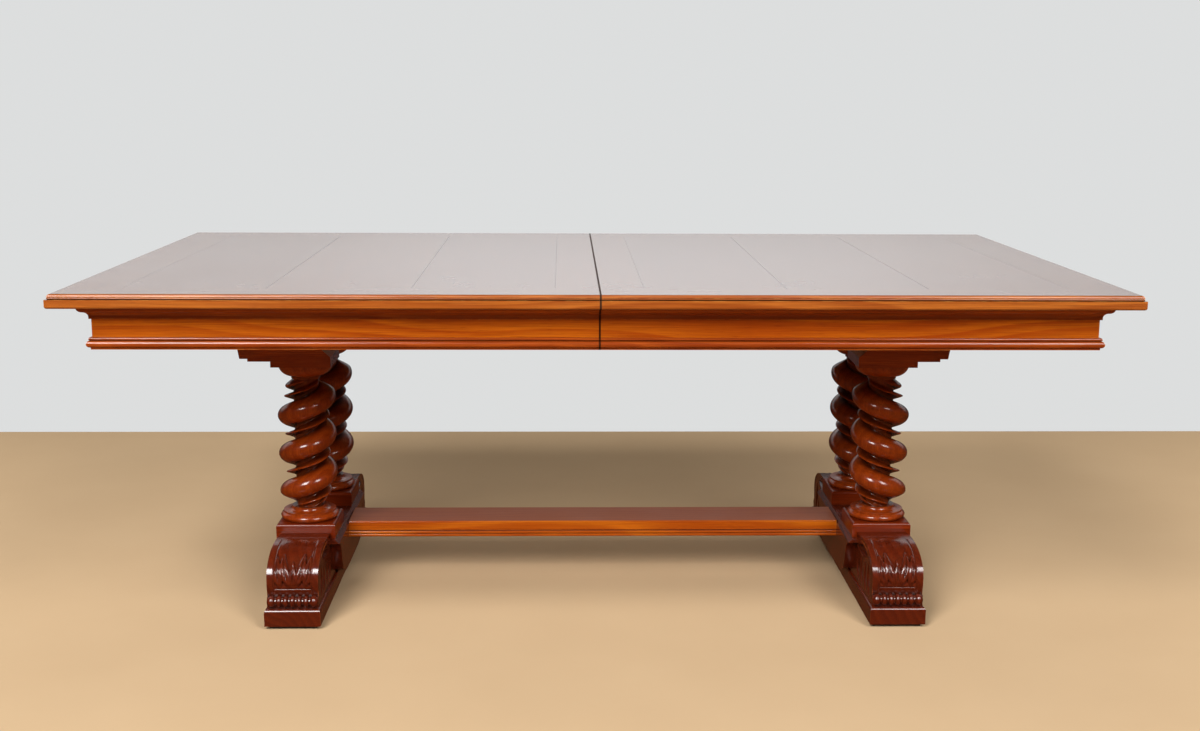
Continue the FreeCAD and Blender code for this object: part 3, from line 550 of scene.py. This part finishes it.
# %% Give each solid its material
FINISH_BY_ENDING = {
    "top_boards": boards, "floor_pads": pads, "rail_screws": steel, "stretcher_pegs": frame_z,
    "bearer": frame_y, "battens": frame_y, "guide_stops": frame_y, "runner_stops": frame_y,
    "guide_rail": frame_x, "runner": frame_x, "joint_dowels": frame_x,
    "plinth": woods["foot", "y"], "cheek": woods["foot", "y"], "foot": woods["foot", "y"],
    "block": woods["block", "x"], "column": woods["column", "z"],
    "abacus": woods["column", "x"], "corbel": woods["column", "x"],
    "stretcher": woods["stretcher", "x"],
    "front_rail": woods["top", "x"], "back_rail": woods["top", "x"],
    "end_stile": woods["top", "y"], "joint_stile": woods["top", "y"],
    "front_apron": woods["apron", "x"], "back_apron": woods["apron", "x"],
    "end_apron": woods["apron", "y"],
    "cornice": woods["moulding", "mitre"], "skirt_moulding": woods["moulding", "mitre"],
}


def finish_of(name):
    """The material for a solid, by the end of its name."""
    for ending, material in FINISH_BY_ENDING.items():
        if name.endswith(ending):
            return material
    raise ValueError(f"no finish for {name}")


for name, node in nodes.items():
    node.material_slots[0].material = finish_of(name)
print("finished", len(nodes), "solids")

# %% [markdown]
# ## Twisted columns
#
# Each shaft is one fat roll that climbs around a core, with a thin fin between its turns. The
# shape follows a rule, so Geometry Nodes draw it: a flat grid is wrapped round the axis, its
# long lines follow the roll, and a formula gives the radius. Lines that follow the roll keep
# the fin crisp with few faces. Both ends shrink to the axis, so the shape is closed.

# %% Tree that wraps a grid into a roll with a fin
ROLL_LINES = 0.64
FIN_CURVE = ((0.5, 0.03), (0.68, 0.3), (0.82, 0.78), (0.92, 0.96))
LAST_ROW = 0.4999
MERGE = 0.00002

shaft_tree, given, result = new_group(
    "twisted_shaft",
    [
        ("Roll Radius", FLOAT, 0.064), ("Core Radius", FLOAT, 0.028), ("Fin Radius", FLOAT, 0.049),
        ("Pitch", FLOAT, 0.086), ("Roll Share", FLOAT, 0.63), ("Run Out", FLOAT, 0.034),
        ("Low", FLOAT, 0.198), ("High", FLOAT, 0.494), ("Left Height", FLOAT, 0.405),
        ("Hand", FLOAT, 1.0), ("Axis", VECTOR, None),
        ("Around", "NodeSocketInt", 73), ("Along", "NodeSocketInt", 221),
        ("Wood", "NodeSocketMaterial", None),
    ],
    [("Mesh", "NodeSocketGeometry")],
    "GeometryNodeTree",
)
tree = shaft_tree


def less(first, second):
    """The difference of two values in the shaft's tree."""
    return maths(tree, "SUBTRACT", first, second)


grid = add(tree, "GeometryNodeMeshGrid", {"Size X": 1.0, "Size Y": 1.0})
feed(tree, grid, {"Vertices X": given["Around"], "Vertices Y": given["Along"]})
spot = split(tree, add(tree, "GeometryNodeInputPosition").outputs[0])
up = maths(tree, "ADD", spot["Y"], 0.5)
height = maths(tree, "MULTIPLY_ADD", up, less(given["High"], given["Low"]), given["Low"])
side = maths(tree, "SIGN", spot["X"])
step = times(tree, maths(tree, "ABSOLUTE", spot["X"]), 2.0)
swing = remap(tree, step, 0.0, ROLL_LINES, 0.0, QUARTER)
climb = remap(tree, step, ROLL_LINES, 1.0)
roll_away = times(tree, maths(tree, "SINE", swing), given["Roll Share"])
away = maths(tree, "MULTIPLY_ADD", climb, less(1.0, given["Roll Share"]), roll_away)
roll_depth = less(given["Roll Radius"], given["Core Radius"])
swell = times(tree, maths(tree, "COSINE", swing), roll_depth)
blade = add(tree, "ShaderNodeFloatCurve", {"Value": climb})
for along, out in FIN_CURVE:
    blade.mapping.curves[0].points.new(along, out)
blade.mapping.update()
fin = times(tree, blade.outputs[0], less(given["Fin Radius"], given["Core Radius"]))
low_end = maths(tree, "DIVIDE", less(height, given["Low"]), given["Run Out"])
high_end = maths(tree, "DIVIDE", less(given["High"], height), given["Run Out"])
low_growth = remap(tree, low_end, 0, 1, smooth=True)
high_growth = remap(tree, high_end, 0, 1, smooth=True)
growth = times(tree, low_growth, high_growth)
radius = maths(tree, "MULTIPLY_ADD", maths(tree, "ADD", swell, fin), growth, given["Core Radius"])
inside = maths(tree, "LESS_THAN", maths(tree, "ABSOLUTE", spot["Y"]), LAST_ROW)
radius = times(tree, radius, inside)
rounds = maths(tree, "DIVIDE", less(height, given["Left Height"]), given["Pitch"])
crest = maths(tree, "MULTIPLY_ADD", rounds, 2 * math.pi, math.pi)
angle = maths(tree, "ADD", crest, times(tree, times(tree, away, side), math.pi))
x = times(tree, times(tree, maths(tree, "COSINE", angle), radius), given["Hand"])
y = times(tree, maths(tree, "SINE", angle), radius)
wrapped = add(tree, "ShaderNodeCombineXYZ", {0: x, 1: y, 2: height}).outputs[0]
placed = vector_maths(tree, "ADD", wrapped, given["Axis"])
bent = add(tree, "GeometryNodeSetPosition", {"Geometry": grid.outputs["Mesh"], "Position": placed})
closed = add(tree, "GeometryNodeMergeByDistance", {"Geometry": bent.outputs[0], "Distance": MERGE})
real = add(tree, "GeometryNodeRealizeInstances", {"Geometry": closed.outputs[0]}).outputs[0]
painted = add(tree, "GeometryNodeSetMaterial", {"Geometry": real, "Material": given["Wood"]})
plug(tree, result["Mesh"], painted.outputs[0])
print("tree", tree.name, "with", len(tree.nodes), "nodes")

# %% [markdown]
# The tree runs as a modifier on an empty mesh. Its inputs are set by their identifiers before
# the first evaluation, and the evaluated shape becomes a plain mesh. A piece joins such meshes
# into one object that rides on the base.

# %% Run a geometry tree and make a piece


def grow(tree, name, **inputs):
    """Runs a geometry tree once with these inputs and returns a plain mesh."""
    holder = bpy.data.objects.new(name, bpy.data.meshes.new(name))
    bpy.context.scene.collection.objects.link(holder)
    modifier = holder.modifiers.new("grow", "NODES")
    modifier.node_group = tree
    for item in tree.interface.items_tree:
        label = item.name.replace(" ", "_").lower()
        if item.in_out == "INPUT" and label in inputs:
            modifier[item.identifier] = inputs[label]
    bpy.context.view_layer.update()
    evaluated = holder.evaluated_get(bpy.context.evaluated_depsgraph_get())
    mesh = bpy.data.meshes.new_from_object(evaluated)
    holder.modifiers.remove(modifier)
    bpy.data.objects.remove(holder)
    return mesh


def mesh_from(name, vertices, faces, material):
    """A plain mesh from lists of places and faces."""
    mesh = bpy.data.meshes.new(name)
    mesh.from_pydata([tuple(vertex) for vertex in vertices], [], faces)
    mesh.materials.append(material)
    return mesh


def piece(name, meshes, material, sharp_angle):
    """Joins meshes into one object on the base, smooth except at sharp edges."""
    joined = bmesh.new()
    for mesh in meshes:
        joined.from_mesh(mesh)
    bmesh.ops.remove_doubles(joined, verts=joined.verts, dist=MERGE)
    bmesh.ops.dissolve_degenerate(joined, edges=joined.edges, dist=MERGE)
    bmesh.ops.recalc_face_normals(joined, faces=joined.faces)
    for face in joined.faces:
        face.smooth = True
        face.material_index = 0
    mesh = bpy.data.meshes.new(name)
    joined.to_mesh(mesh)
    joined.free()
    mesh.materials.append(material)
    mesh.set_sharp_from_angle(angle=math.radians(sharp_angle))
    made = bpy.data.objects.new(name, mesh)
    bpy.context.scene.collection.objects.link(made)
    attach(made, "base")
    return made


print("ready to grow")

# %% [markdown]
# The column's ends are turned on a lathe: a ring and a neck below, an ovolo above. A short
# outline spun round the axis gives them, with arcs drawn as a few straight steps.

# %% Turned ends and whole columns
SPIN_STEPS = 72
ARC_STEPS = 10


def bulge(start, end, swing):
    """Points of an arc from start to end that swings out from its chord."""
    chord = Vector(end) - Vector(start)
    outward = Vector((chord.y, -chord.x)).normalized()
    points = []
    for step in range(1, ARC_STEPS + 1):
        part = step / ARC_STEPS
        points.append(tuple(Vector(start) + chord * part + outward * swing * 4 * part * (1 - part)))
    return points


def sheet_faces(rows, width, closed=False):
    """Faces between neighbouring rows of points, round to each row's start if closed."""
    faces = []
    for row in range(rows - 1):
        for step in range(width if closed else width - 1):
            here = row * width + step
            beside = row * width + (step + 1) % width
            faces.append((here, beside, beside + width, here + width))
    return faces


def spin(name, axis, outline):
    """Turns an outline of radius and height round an upright axis."""
    vertices = []
    for radius, height in outline:
        for step in range(SPIN_STEPS):
            angle = 2 * math.pi * step / SPIN_STEPS
            x = axis[0] + radius * math.cos(angle)
            y = axis[1] + radius * math.sin(angle)
            vertices.append((x, y, height))
    faces = sheet_faces(len(outline), SPIN_STEPS, closed=True)
    return mesh_from(name, vertices, faces, woods["column", "z"])


RING = bulge((0.058, 0.172), (0.058, 0.188), 0.006)
NECK = bulge((0.047, 0.192), (0.039, 0.201), -0.0024)
OVOLO = bulge((0.032, 0.497), (0.061, 0.525), 0.008)
BASE_OUTLINE = [(0, 0.172), (0.058, 0.172)] + RING
BASE_OUTLINE += [(0.058, 0.192), (0.047, 0.192)] + NECK + [(0, 0.201)]
CROWN_OUTLINE = [(0, 0.491), (0.032, 0.491), (0.032, 0.497)] + OVOLO + [(0, 0.525)]

TRESTLE_X = 0.64
COLUMN_Y = 0.13
SIDES = (("left", -1), ("right", 1))
ENDS = (("front", -1), ("back", 1))
for side_name, side in SIDES:
    for end_name, end in ENDS:
        name = f"{side_name}_{end_name}_twisted_column"
        axis = (side * TRESTLE_X, end * COLUMN_Y, 0)
        shaft = grow(shaft_tree, name, axis=axis, hand=float(-side), wood=woods["column", "z"])
        ends = [spin(name, axis, BASE_OUTLINE), spin(name, axis, CROWN_OUTLINE)]
        column = piece(name, [shaft] + ends, woods["column", "z"], sharp_angle=50)
        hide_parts(f"{side_name}_{end_name}_column")
        print(name, len(column.data.polygons), "faces")

# %% [markdown]
# ## Carved feet
#
# Each foot is a beam with a scroll at both ends. The carver left plain margins, cut a line
# along each of them and filled the field between with acanthus leaves. The sides have leaf
# shaped hollows inside the scroll's band. A close grid follows the scroll, and two rules push
# its points out or in: one for the front, one for the sides. So the carving is real shape.

# %% Outline of the scroll
HALF_FOOT = 0.054
TOE = 0.376
PLINTH_TOP = 0.043
LEDGE = 0.067
SEAT = 0.14
SCROLL = [
    (0.369, LEDGE), (0.3749, 0.0984), (0.36695, 0.1248), (0.338, 0.1448),
    (0.2964, 0.1552), (0.2457, 0.1568), (0.195, 0.152),
]
SCROLL_BACK = SCROLL[-1][0]
SCROLL_STEPS = 190
CURVE_STEPS = 24


def smooth_line(points, steps):
    """Points of even spacing on a smooth line through the given ones, and how far along each is."""
    ends = [2 * Vector(points[0]) - Vector(points[1])] + [Vector(point) for point in points]
    ends.append(2 * ends[-1] - ends[-2])
    line = []
    for before, here, there, after in zip(ends, ends[1:], ends[2:], ends[3:]):
        first = here + (there - before) / 6
        second = there - (after - here) / 6
        curve = interpolate_bezier(here, first, second, there, CURVE_STEPS)
        line += [tuple(point) for point in curve[:-1]]
    line = np.array(line + [tuple(points[-1])])
    lengths = np.concatenate([[0], np.cumsum(np.linalg.norm(np.diff(line, axis=0), axis=1))])
    even = np.linspace(0, lengths[-1], steps)
    return np.stack([np.interp(even, lengths, places) for places in line.T], axis=1), even


scroll_line, scroll_run = smooth_line(SCROLL, SCROLL_STEPS)
print("scroll is", round(scroll_run[-1] * 1000), "mm long")

# %% [markdown]
# A leaf is a long spoon with a line of its own, widest below its middle, with a groove along
# the middle and ribs that slant out of it. Its place across the foot and along the scroll is
# all that differs, so the field is a short list of leaves, and the right ones mirror the left.

# %% Rules for cut lines and leaves
RIBS = 7
RIB_SLANT = 1.3
RIB_DEPTH = 0.1
VEIN_WIDTH = 0.002
VEIN_DEPTH = 0.5
TINY = 1e-6


def groove(distance, width):
    """Depth from 0 to 1 of a cut line, by the distance from it."""
    return np.clip(1 - (distance / width) ** 2, 0, 1)


def ramp(value, start, end):
    """0 at the start and before it, 1 at the end and past it, smooth between them."""
    part = np.clip((value - start) / (end - start), 0, 1)
    return part * part * (3 - 2 * part)


def along_and_off(across, run, start, end, bow):
    """How far along a bowed line from start to end each point is, and how far off it."""
    line = np.array(end) - np.array(start)
    length = np.hypot(*line)
    direction = line / length
    along = ((across - start[0]) * direction[0] + (run - start[1]) * direction[1]) / length
    off = (across - start[0]) * -direction[1] + (run - start[1]) * direction[0]
    inside = np.clip(along, 0, 1)
    return along, off - bow * np.sin(math.pi * inside)


def leaf(across, run, start, end, width, bow):
    """Height from 0 to 1 of one carved leaf."""
    along, off = along_and_off(across, run, start, end, bow)
    inside = np.clip(along, 0, 1)
    half = width * np.sin(math.pi * inside ** 0.7) ** 0.8 + TINY
    outward = np.clip(np.abs(off) / half, 0, 1)
    spoon = np.sqrt(1 - outward ** 3)
    vein = VEIN_DEPTH * groove(off, VEIN_WIDTH) * ramp(inside, 0.1, 0.3) * ramp(inside, 0.95, 0.7)
    ribs = 0.5 + 0.5 * np.cos(2 * math.pi * (RIBS * inside - RIB_SLANT * outward))
    height = spoon * (1 - vein) * (1 - RIB_DEPTH * ribs * outward)
    return np.where((along > 0) & (along < 1), height, 0)


print("a leaf has", RIBS, "ribs")

# %% [markdown]
# On the front, the ground is cut down between the margins and the leaves stand on it. The list
# gives each leaf's start and end (across the foot, along the scroll), its half width, its bow
# and its share of the full height. On the sides the hollows are listed in the same way, by
# their distance from the foot's middle and their height.

# %% Rules for the front and the sides
MARGIN = 0.039
FILLET_RUN = 0.019
LINE_DEPTH = 0.0013
LEAVES = [
    ((0.000, 0.020), (0.000, 0.082), 0.0080, 0.000, 0.85),
    ((0.007, 0.021), (0.022, 0.106), 0.0100, 0.004, 1.0),
    ((0.026, 0.021), (0.035, 0.097), 0.0105, 0.003, 0.95),
]
LEAF_HEIGHT = 0.0052
GROUND = 0.0032


def front_relief(across, run):
    """How far the carving stands out of the scroll, or lies in it."""
    side = np.abs(across)
    field = ramp(side, MARGIN, MARGIN - 0.003) * ramp(run, FILLET_RUN, FILLET_RUN + 0.014)
    field = field * ramp(run, 0.13, 0.085)
    carved = np.zeros_like(across)
    for start, end, width, bow, share in LEAVES:
        carved = np.maximum(carved, share * leaf(side, run, start, end, width, -bow))
    height = field * (carved * LEAF_HEIGHT - GROUND)
    lines = groove(side - MARGIN - 0.001, 0.0013) * ramp(run, 0.004, 0.01) * ramp(run, 0.2, 0.15)
    fillet = groove(run - FILLET_RUN + 0.002, 0.0016) * (side < MARGIN)
    return height - LINE_DEPTH * np.maximum(lines, fillet)


HOLLOWS = [
    ((0.340, 0.054), (0.328, 0.124), 0.0125, 0.006),
    ((0.304, 0.052), (0.292, 0.114), 0.0120, 0.003),
    ((0.266, 0.052), (0.250, 0.108), 0.0120, 0.003),
    ((0.232, 0.052), (0.208, 0.096), 0.0115, 0.002),
    ((0.208, 0.122), (0.310, 0.133), 0.0125, 0.003),
]
HOLLOW_DEPTH = 0.0125
BAND = 0.009
BAND_LINE = 0.002


def side_relief(out, height, below):
    """How deep the side is cut at a distance from the middle, a height and a depth below the scroll."""
    cut = np.zeros_like(out)
    for start, end, width, bow in HOLLOWS:
        along, off = along_and_off(out, height, start, end, bow)
        fullness = np.sin(math.pi * np.clip(along, 0, 1)) ** 0.8
        shape = ramp(1 - np.abs(off) / (width * fullness + TINY), 0, 0.75) * fullness
        cut = np.maximum(cut, np.where((along > 0) & (along < 1), shape, 0) * HOLLOW_DEPTH)
    band = groove(below - BAND, BAND_LINE) * (out < 0.372) * (height > 0.052)
    return np.maximum(cut, BAND_LINE * band)


print("leaves on a scroll:", 2 * len(LEAVES) - 1, "- hollows on a side:", len(HOLLOWS))

# %% [markdown]
# The grid's rows follow the foot's outline from the front toe over both scrolls to the back
# toe. Each row runs up one side, across and down the other. The underside is one flat face.

# %% Build both feet
ACROSS_STEPS = 96
SIDE_STEPS = 56
TOE_ROWS = 3
SEAT_ROWS = 3


def outline_rows():
    """Rows of the foot from its toe to its middle: place, outward normal and run on the scroll."""
    rows = [((TOE, PLINTH_TOP), (1, 0), -1), ((TOE, LEDGE), (1, 0), -1), ((TOE, LEDGE), (0, 1), -1)]
    tangents = np.gradient(scroll_line, axis=0)
    tangents /= np.linalg.norm(tangents, axis=1)[:, None]
    for spot, tangent, run in zip(scroll_line, tangents, scroll_run):
        rows.append((tuple(spot), (tangent[1], -tangent[0]), run))
    for out in (SCROLL_BACK, 0.1, 0.0):
        rows.append(((out, SEAT), (0, 1), -1))
    return rows


def foot_mesh(name, middle):
    """One foot with its carving, centred on the trestle."""
    across = np.linspace(-HALF_FOOT, HALF_FOOT, ACROSS_STEPS + 1)
    rise = np.linspace(0, 1, SIDE_STEPS + 1)
    half_rows = outline_rows()
    last_of_scroll = len(half_rows) - SEAT_ROWS - 1
    rows = []
    for index, ((out, top), normal, run) in enumerate(half_rows):
        foot_out = np.interp(index, [TOE_ROWS, last_of_scroll], [TOE, SCROLL_BACK])
        if index > last_of_scroll:
            foot_out = out
        side_out = foot_out + (out - foot_out) * rise
        side_up = PLINTH_TOP + (top - PLINTH_TOP) * rise
        relief = np.zeros_like(across)
        cut = np.zeros_like(rise)
        if run >= 0:
            relief = front_relief(across, np.full_like(across, run))
            cut = side_relief(side_out, side_up, np.hypot(out - side_out, top - side_up))
        cut = cut * ramp(rise, 0.0, 0.06) * ramp(rise, 1.0, 0.97)
        edge = np.stack([across, out + normal[0] * relief, top + normal[1] * relief], axis=1)
        left = np.stack([-HALF_FOOT + cut, side_out, side_up], axis=1)
        right = np.stack([HALF_FOOT - cut, side_out, side_up], axis=1)
        rows.append(np.concatenate([left[:-1], edge, right[::-1][1:]]))
    front = [row * (1, -1, 1) for row in rows]
    back = rows[-2::-1]
    points = np.concatenate(front + back) + (middle, 0, 0)
    faces = sheet_faces(len(front) + len(back), len(rows[0]))
    return mesh_from(name, points, faces, woods["foot", "y"])


def close_underside(mesh):
    """Fills the open rim below the foot with one face and returns how many edges stay open."""
    work = bmesh.new()
    work.from_mesh(mesh)
    bmesh.ops.remove_doubles(work, verts=work.verts, dist=MERGE)
    bmesh.ops.dissolve_degenerate(work, edges=work.edges, dist=MERGE)
    rim = [edge for edge in work.edges if edge.is_boundary]
    bmesh.ops.holes_fill(work, edges=rim, sides=0)
    work.to_mesh(mesh)
    open_edges = sum(1 for edge in work.edges if edge.is_boundary)
    work.free()
    return open_edges


for side_name, side in SIDES:
    name = f"{side_name}_carved_foot"
    mesh = foot_mesh(name, side * TRESTLE_X)
    open_edges = close_underside(mesh)
    carved = piece(name, [mesh], woods["foot", "y"], sharp_angle=48)
    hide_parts(f"{side_name}_foot")
    print(name, len(carved.data.polygons), "faces,", open_edges, "open edges")

# %% [markdown]
# ## Beads on the toes
#
# A string of turned beads lies along each toe: round ones in the middle and a longer olive at
# each end, on a thin rod. One sphere, stretched for each kind, is set along two lines by
# Geometry Nodes and made real.

# %% Tree that strings the beads
OVERLAP = 0.53
ROD_SHARE = 0.6
LYING = (0, QUARTER, 0)

beads_tree, given, result = new_group(
    "toe_beads",
    [
        ("Radius", FLOAT, 0.0128), ("Beads", "NodeSocketInt", 5), ("Bead Length", FLOAT, 0.0142),
        ("Olive Length", FLOAT, 0.0185), ("Middle", VECTOR, None), ("Wood", "NodeSocketMaterial", None),
    ],
    [("Mesh", "NodeSocketGeometry")],
    "GeometryNodeTree",
)
tree = beads_tree


def vector_of(*values):
    """A vector from one, two or three values."""
    return add(tree, "ShaderNodeCombineXYZ", dict(enumerate(values))).outputs[0]


def string_of(count, spacing, length):
    """A centred row of stretched spheres along X, as instances."""
    reach = times(tree, spacing, maths(tree, "MULTIPLY_ADD", count, -0.5, 0.5))
    first = vector_maths(tree, "ADD", given["Middle"], vector_of(reach))
    row = {"Count": count, "Start Location": first, "Offset": vector_of(spacing)}
    line = add(tree, "GeometryNodeMeshLine", row).outputs[0]
    ball = add(tree, "GeometryNodeMeshUVSphere", {"Segments": 24, "Rings": 14, "Radius": 1.0})
    lying = add(tree, "GeometryNodeTransform", {"Geometry": ball.outputs[0], "Rotation": LYING})
    scale = vector_of(times(tree, length, OVERLAP), given["Radius"], given["Radius"])
    strung = {"Points": line, "Instance": lying.outputs[0], "Scale": scale}
    return add(tree, "GeometryNodeInstanceOnPoints", strung).outputs[0]


row_length = times(tree, given["Beads"], given["Bead Length"])
olive_spacing = maths(tree, "ADD", row_length, given["Olive Length"])
rod_radius = times(tree, given["Radius"], ROD_SHARE)
rod = {"Vertices": 24, "Radius": rod_radius, "Depth": olive_spacing}
rod = add(tree, "GeometryNodeMeshCylinder", rod).outputs[0]
laid = {"Geometry": rod, "Translation": given["Middle"], "Rotation": LYING}
laid = add(tree, "GeometryNodeTransform", laid).outputs[0]
joined = add(tree, "GeometryNodeJoinGeometry")
beads = string_of(given["Beads"], given["Bead Length"], given["Bead Length"])
olives = string_of(2, olive_spacing, given["Olive Length"])
for strand in (beads, olives, laid):
    tree.links.new(strand, joined.inputs[0])
real = add(tree, "GeometryNodeRealizeInstances", {"Geometry": joined.outputs[0]}).outputs[0]
painted = add(tree, "GeometryNodeSetMaterial", {"Geometry": real, "Material": given["Wood"]})
plug(tree, result["Mesh"], painted.outputs[0])

BEAD_HEIGHT = 0.0578
BEAD_INSET = 0.0005
for side_name, side in SIDES:
    for end_name, end in ENDS:
        name = f"{side_name}_{end_name}_toe_beads"
        middle = (side * TRESTLE_X, end * (TOE - BEAD_INSET), BEAD_HEIGHT)
        mesh = grow(beads_tree, name, middle=middle, wood=woods["foot", "y"])
        beads = piece(name, [mesh], woods["foot", "y"], sharp_angle=60)
        print(name, len(beads.data.polygons), "faces")

# %% [markdown]
# ## Floor and backdrop
#
# A plain pale floor keeps the table's shadow. It is matt, and the polish doesn't mirror it,
# because a bright floor hazes dark wood. The top mirrors a backdrop that stands behind the table,
# which the camera doesn't see and which throws no shadow. It is pale above and painted dark below, as
# painted shade of the wall under the table.

# %% Floor and backdrop
scene = bpy.context.scene
FLOOR_BACK = 1.42
FLOOR_REACH = 3.6
BACKDROP_REACH = 4
BACKDROP_HEIGHT = 3.2


def stage_sheet(name, reach, near, far, paint):
    """A flat sheet that reaches as far left as right, from one Y and Z to another."""
    corners = [(-reach, *near), (reach, *near), (reach, *far), (-reach, *far)]
    sheet = bpy.data.objects.new(name, mesh_from(name, corners, [(0, 1, 2, 3)], paint))
    scene.collection.objects.link(sheet)
    return sheet


floor_paint, tree, shader = start_material("pale_floor")
mottle = noise(tree, object_place(tree), 3.0, 4.0)
sand = blend(tree, mottle, (0.375, 0.26, 0.15, 1), (0.415, 0.293, 0.173, 1))
feed(tree, shader, {"Base Color": sand, "Roughness": 0.5, "Specular IOR Level": 0.0})
floor = stage_sheet("floor", FLOOR_REACH, (-FLOOR_REACH, 0), (FLOOR_BACK, 0), floor_paint)
floor.visible_glossy = False

backdrop_paint, tree, shader = start_material("pale_backdrop")
# Painted shade: the backdrop goes from near-black below 0.45 m to pale grey above 0.95 m, like a wall
# shaded under the table.
shade = remap(tree, split(tree, object_place(tree))["Z"], 0.45, 0.95, smooth=True)
grey = blend(tree, shade, (0.03, 0.03, 0.03, 1), (0.44, 0.455, 0.47, 1))
feed(tree, shader, {"Base Color": grey, "Roughness": 0.8})
foot_line = (FLOOR_BACK, 0)
head_line = (FLOOR_BACK, BACKDROP_HEIGHT)
backdrop = stage_sheet("backdrop", BACKDROP_REACH, foot_line, head_line, backdrop_paint)
backdrop.visible_camera = False
backdrop.visible_shadow = False
print("floor reaches", FLOOR_REACH, "m")

# %% [markdown]
# ## World
#
# The world is pale where the camera looks past the table. The polish mirrors a dimmer world: a
# warm ground below the horizon and a dim grey above it.

# %% World
GROUND_GLOW = (0.1, 0.036, 0.014, 1)
SKY_GLOW = (0.05, 0.05, 0.05, 1)
PALE_GREY = (0.72, 0.73, 0.73, 1)

world = bpy.data.worlds.new("studio")
world.use_nodes = True
scene.world = world
tree = world.node_tree
light = tree.nodes["Background"]
upward = split(tree, add(tree, "ShaderNodeTexCoord").outputs["Generated"])["Z"]
glow = blend(tree, remap(tree, upward, -0.05, 0.05), GROUND_GLOW, SKY_GLOW)
plug(tree, light.inputs["Color"], glow)
seen = add(tree, "ShaderNodeBackground", {"Color": PALE_GREY, "Strength": 1.0})
ray = add(tree, "ShaderNodeLightPath").outputs
mixed = add(tree, "ShaderNodeMixShader", {0: ray["Is Camera Ray"]})
tree.links.new(light.outputs[0], mixed.inputs[1])
tree.links.new(seen.outputs[0], mixed.inputs[2])
tree.links.new(mixed.outputs[0], tree.nodes["World Output"].inputs[0])
print("world", world.name, "with", len(tree.nodes), "nodes")

# %% [markdown]
# ## Lamps and camera
#
# Two large soft lamps stand in front, to the left and to the right, because every round piece
# shows two soft highlights. A weak one behind lights the back. The camera stands where the
# table's corners fall on the same places of the picture as in the photograph.

# %% Lamps and camera
FRONT_LAMP = (2.1, 4.2)
BACK_LAMP = (3.0, 2.0)


def soft_lamp(name, place, aim, size, power):
    """A rectangular lamp that faces a point."""
    lamp = bpy.data.lights.new(name, "AREA")
    lamp.shape = "RECTANGLE"
    lamp.size, lamp.size_y = size
    lamp.energy = power
    made = bpy.data.objects.new(name, lamp)
    made.location = place
    made.rotation_euler = (Vector(aim) - Vector(place)).to_track_quat("-Z", "Y").to_euler()
    scene.collection.objects.link(made)


soft_lamp("left_lamp", (-2.3, -4.5, 4.5), (-0.3, 0, 0.4), FRONT_LAMP, power=680)
soft_lamp("right_lamp", (2.8, -4.5, 4.5), (0.3, 0, 0.4), FRONT_LAMP, power=430)
soft_lamp("back_lamp", (0.4, 4.4, 3.6), (0, 0, 0.4), BACK_LAMP, power=120)

camera = bpy.data.cameras.new("photo_camera")
camera.lens = 44.696
camera.sensor_width = 36
viewpoint = bpy.data.objects.new("photo_camera", camera)
viewpoint.location = (-0.0727, -3.3795, 1.1366)
viewpoint.rotation_euler = [math.radians(turn) for turn in (79.218, -0.299, -1.416)]
scene.collection.objects.link(viewpoint)
scene.camera = viewpoint
scene.view_settings.view_transform = "Standard"
print("camera with", camera.lens, "mm lens")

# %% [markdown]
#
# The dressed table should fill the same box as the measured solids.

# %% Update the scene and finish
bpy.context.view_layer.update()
